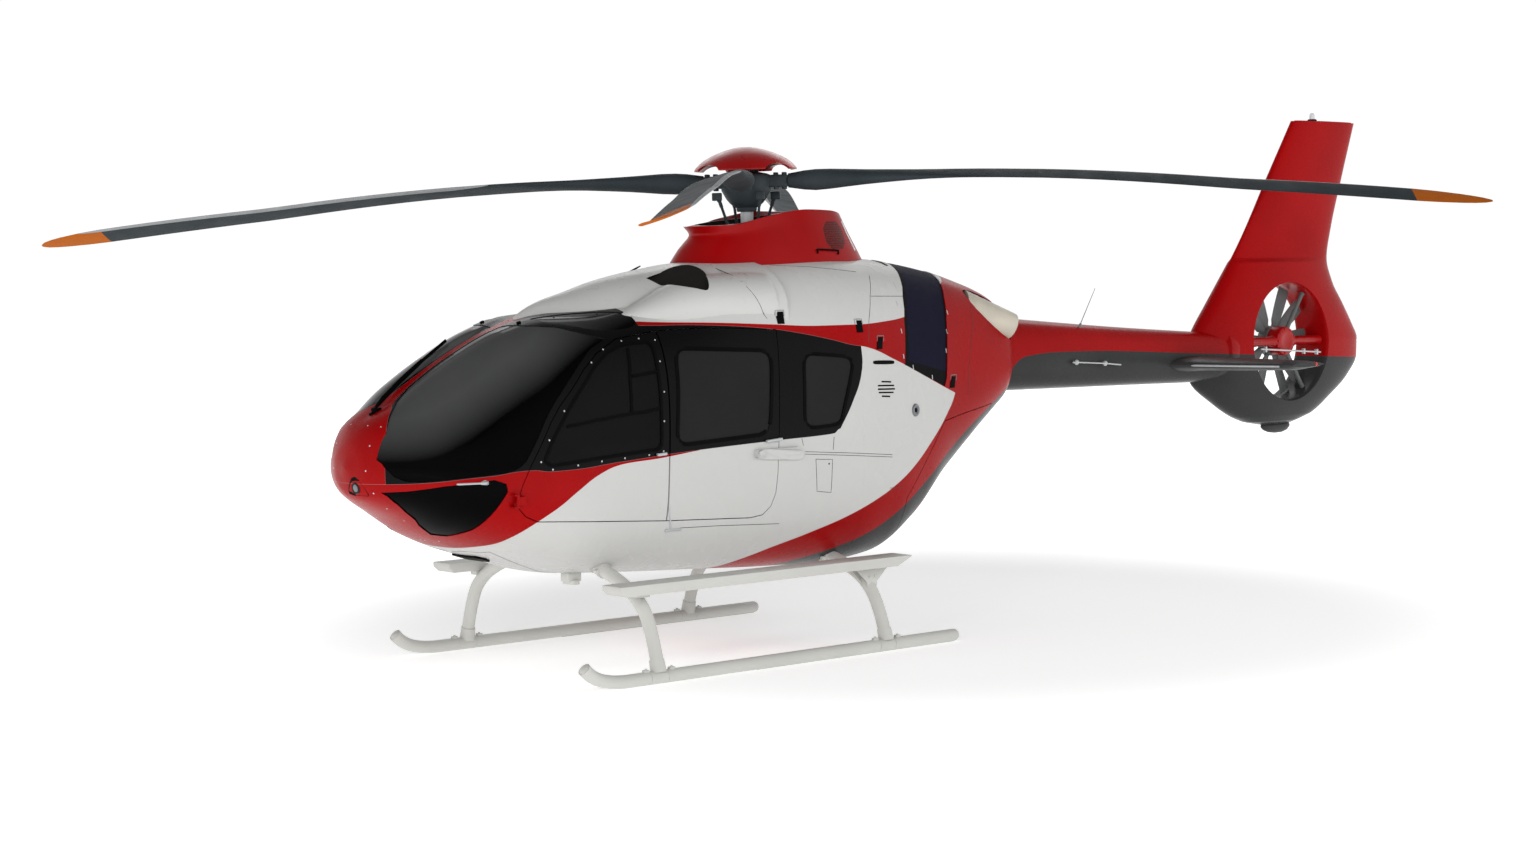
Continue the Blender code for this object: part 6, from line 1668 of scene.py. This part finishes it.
def make_seats():
    for side in (1, -1):
        name = "left" if side > 0 else "right"
        y = side * 0.360
        node = nodes[f"pilot_seat_{name}"]
        shell = loose(f"seat_frame_{name}", node.data.copy())
        shell.data.transform(node.matrix_world)
        edges = shell.modifiers.new("edges", "BEVEL")
        edges.width = 0.006
        edges.segments = 2
        edges.limit_method = "ANGLE"
        settled(shell)
        shell.data.materials.clear()
        evened(shell, 40.0)
        stand_in(shell.name, shell, cabin_black, f"pilot_seat_{name}")
        flat = Matrix.Translation((1.835 + MAST_X, y, 1.283)) @ Matrix.Rotation(math.radians(-6.0), 4, "Y")
        flat = flat @ Matrix.Rotation(math.pi / 2, 4, "Z")
        make_cushion(f"seat_pad_{name}", (0.430, 0.400, 0.080), flat, (-0.16, 0.16))
        make_cushion(f"back_pad_{name}", (0.420, 0.560, 0.075), seat_frame(1.522, y, 1.650, 0.122),
                     (-0.30, -0.10, 0.10, 0.30))
        make_cushion(f"head_pad_{name}", (0.240, 0.150, 0.070), seat_frame(1.470, y, 2.060, 0.122), ())
        post = [(1.445 + MAST_X, y, 1.940), (1.440 + MAST_X, y, 2.060)]
        add(f"head_post_{name}", tube("post", post, 0.014, 12), steel)
        pads = tree_of(f"seat_pad_{name}", f"back_pad_{name}")
        belts = []
        for offset in (-0.105, 0.105):
            belts.append(make_belt([(1.55, y + offset * 0.8, 1.965), (1.62, y + offset, 1.80), (1.66, y + offset, 1.60),
                                    (1.70, y + offset * 0.6, 1.44), (1.76, y + offset * 0.25, 1.41)], pads))
        belts.append(make_belt([(1.68, y - 0.235, 1.33), (1.72, y - 0.15, 1.42), (1.77, y, 1.43),
                                (1.72, y + 0.15, 1.42), (1.68, y + 0.235, 1.33)], pads))
        add(f"belt_{name}", joined("belts", belts), belt_grey)
        place, normal, _, _ = pads.find_nearest(Vector((1.77 + MAST_X, y, 1.46)))
        buckle = lathe("buckle", [(0, 0.016), (0.022, 0.016), (0.027, 0.011), (0.027, 0.0), (0, 0.0)], 24,
                       frame_at(place + Vector((0, 0, 0.004)), (0.5, 0, 1)))
        add(f"buckle_{name}", buckle, steel)
    bench = nodes["rear_bench"]
    shell = loose("bench_frame", bench.data.copy())
    shell.data.transform(bench.matrix_world)
    shell.data.materials.clear()
    evened(shell, 40.0)
    stand_in("bench_frame", shell, cabin_black, "rear_bench")
    for k, y in enumerate((-0.415, 0.0, 0.415)):
        flat = Matrix.Translation((0.320 + MAST_X, y, 1.292)) @ Matrix.Rotation(math.radians(-6.0), 4, "Y")
        flat = flat @ Matrix.Rotation(math.pi / 2, 4, "Z")
        make_cushion(f"bench_pad_{k + 1}", (0.395, 0.380, 0.075), flat, (0.0,))
        make_cushion(f"bench_back_{k + 1}", (0.390, 0.540, 0.070), seat_frame(0.022, y, 1.640, 0.130),
                     (-0.2, 0.1))


def make_cockpit():
    """The instrument panel's screens and the pilots' controls."""
    node = nodes["instrument_panel"]
    console = loose("panel_body", node.data.copy())
    console.data.transform(node.matrix_world)
    edges = console.modifiers.new("edges", "BEVEL")
    edges.width = 0.008
    edges.segments = 2
    edges.limit_method = "ANGLE"
    settled(console)
    console.data.materials.clear()
    evened(console, 40.0)
    stand_in("panel_body", console, cabin_black, "instrument_panel")
    face = seat_frame(2.424, 0.0, 1.340, 0.155)
    face = face @ Matrix.Rotation(math.pi, 4, "Y")
    frames, glasses = [], []
    for y, z, wide, tall in ((-0.150, 0.020, 0.120, 0.130), (0.150, 0.020, 0.120, 0.130), (0.0, 0.030, 0.055, 0.060)):
        frames.append(block("bezel", (y - wide, z - tall, 0.0), (y + wide, z + tall, 0.014), 0.004, face))
        glasses.append(block("screen", (y - wide + 0.014, z - tall + 0.014, 0.0135), (y + wide - 0.014, z + tall - 0.014,
                                                                                     0.0155), 0.0, face))
    add("panel_bezels", joined("bezels", frames), rubber)
    add("panel_screens", joined("screens", glasses), screen_display)
    for side in (1, -1):
        name = "left" if side > 0 else "right"
        y = side * 0.360
        stick = [(2.160 + MAST_X, y, 0.760), (2.160 + MAST_X, y, 0.900), (2.200 + MAST_X, y, 1.150),
                 (2.130 + MAST_X, y, 1.330), (2.110 + MAST_X, y, 1.400)]
        grip = [(2.112 + MAST_X, y, 1.395), (2.104 + MAST_X, y, 1.450), (2.112 + MAST_X, y, 1.520),
                (2.126 + MAST_X, y, 1.545)]
        add(f"stick_{name}", joined("stick", [tube("stick", smooth_path(stick, 5), 0.013, 14),
                                              tube("grip", smooth_path(grip, 4), 0.022, 14)]), cabin_black)
        lever = [(1.620 + MAST_X, side * 0.095, 0.980), (1.900 + MAST_X, side * 0.095, 1.270),
                 (1.960 + MAST_X, side * 0.095, 1.330)]
        add(f"lever_{name}", tube("lever", lever, [0.014, 0.014, 0.022], 14), cabin_black)
        for dy in (-0.080, 0.080):
            pedal = [(2.520 + MAST_X, y + dy, 0.940), (2.480 + MAST_X, y + dy, 1.060)]
            tread = block("tread", (-0.012, -0.035, -0.045), (0.012, 0.035, 0.045), 0.006,
                          Matrix.Translation((2.480 + MAST_X, y + dy, 1.080)))
            side_of = "in" if dy < 0 else "out"
            add(f"pedal_{side_of}_{name}", joined("pedal", [tube("arm", pedal, 0.009, 10), tread]), steel)


def put(material, *names):
    for name in names:
        for slot in nodes[name].material_slots:
            slot.material = material


def make_floor():
    bm = bmesh.new()
    bmesh.ops.create_grid(bm, x_segments=8, y_segments=8, size=60.0)
    mesh = bpy.data.meshes.new("studio_floor")
    bm.to_mesh(mesh)
    bm.free()
    floor = loose("studio_floor", mesh)
    s = Shader("floor_white")
    # The floor glows: its painted light is weaker within 3 m of the part's origin, a painted shadow pool under the
    # helicopter, and rises to full white by 6.6 m.
    away = s.math("SQRT", s.math("ADD", s.math("MULTIPLY", s.along, s.along), s.math("MULTIPLY", s.y, s.y)))
    s.set(Base_Color=s.varied((0.86, 0.86, 0.86, 1.0), 0.01, 0.2), Roughness=0.8, Specular_IOR_Level=0.0,
          Emission_Color=(1.0, 1.0, 1.0, 1.0), Emission_Strength=s.remap(away, 3.0, 6.6, 0.44, 1.0, kind="SMOOTHSTEP"))
    mesh.materials.append(s.material)


def make_light(name, place, target, size, power, sheen_only=False):
    """A soft light. It shows in no surface, unless it is there for its sheen only."""
    data = bpy.data.lights.new(name, "AREA")
    data.shape = "RECTANGLE"
    data.size, data.size_y = size
    data.energy = power
    obj = bpy.data.objects.new(name, data)
    obj.location = place
    obj.rotation_mode = "QUATERNION"
    obj.rotation_quaternion = (Vector(target) - Vector(place)).to_track_quat("-Z", "Y")
    obj.visible_glossy = sheen_only
    obj.visible_diffuse = not sheen_only
    bpy.context.scene.collection.objects.link(obj)


def make_world():
    """White all round the horizon, dimmer overhead."""
    world = bpy.data.worlds.new("studio")
    world.use_nodes = True
    tree = world.node_tree
    back = tree.nodes["Background"]
    place = tree.nodes.new("ShaderNodeTexCoord")
    split = tree.nodes.new("ShaderNodeSeparateXYZ")
    fade = tree.nodes.new("ShaderNodeMapRange")
    fade.interpolation_type = "SMOOTHSTEP"
    for socket, value in zip(list(fade.inputs)[1:5], (0.16, 0.80, 1.02, 0.20)):
        socket.default_value = value
    tree.links.new(place.outputs["Generated"], split.inputs[0])
    tree.links.new(split.outputs["Z"], fade.inputs[0])
    tree.links.new(fade.outputs[0], back.inputs["Strength"])
    back.inputs["Color"].default_value = (1.0, 1.0, 1.0, 1.0)
    bpy.context.scene.world = world


def make_studio():
    make_floor()
    make_world()
    make_light("key", (-3.0, 13.0, 8.0), (-1.0, 0.0, 1.5), (9.0, 5.0), 520.0)
    make_light("front_box", (14.0, 7.5, 3.6), (1.0, 0.0, 1.8), (1.6, 6.0), 380.0)
    make_light("back_box", (-6.0, -7.5, 9.0), (0.5, 0.0, 2.4), (12.0, 5.0), 300.0, True)
    view = bpy.context.scene.view_settings
    view.view_transform = "Standard"
    view.look = "None"


def make_camera():
    data = bpy.data.cameras.new("camera")
    data.sensor_width = 36.0
    data.lens = 36.0 * 2570.09 / 1536
    data.clip_end = 200.0
    camera = bpy.data.objects.new("camera", data)
    right = Vector((-0.75919122, 0.6507251, -0.01362143))
    up = Vector((-0.05113846, -0.03877294, 0.99793863))
    back = right.cross(up)
    turn = Matrix((right, up, back)).transposed().to_4x4()
    camera.matrix_world = Matrix.Translation((11.85111672 + MAST_X, 14.05538468, 2.64761417)) @ turn
    bpy.context.scene.collection.objects.link(camera)
    bpy.context.scene.camera = camera


rotor_pivot = Matrix.Translation((MAST_X, 0.0, ROTOR_CENTRE[2])) @ Matrix.Rotation(ROTOR_TILT, 4, "Y")
make_skins()
make_hood()
make_fairing()
make_tail()
make_blades(rotor_pivot)
make_rotor_head(rotor_pivot)
make_fan()
make_gear()
make_exhausts()
make_bumper()
put(cabin_black, "cabin_floor", "cabin_ceiling")
put(steel, "powerplant")
body_skins = [f"{name}_skin" for name in ("nose_shell", "cabin_shell", "rear_shell", "engine_cowling", "rear_cowling",
                                          "front_cowling", "intake_screen", "roof_hood", "mast_fairing", "tail_boom",
                                          "tail_fin")]
body_skins += [f"{name}_skin" for name in side_names("windscreen", "chin_window", "roof_window", "quarter_window",
                                                     "pilot_glass", "sliding_glass", "pilot_door", "sliding_door",
                                                     "rear_door")]
outside = tree_of(*body_skins)
make_seams(outside)
make_fittings(outside)
make_side_trim(outside)
make_nose(outside)
make_antennas(outside)
make_cowl_top(outside)
make_gear_details()
make_seats()
make_cockpit()
make_studio()
make_camera()
bpy.context.view_layer.update()
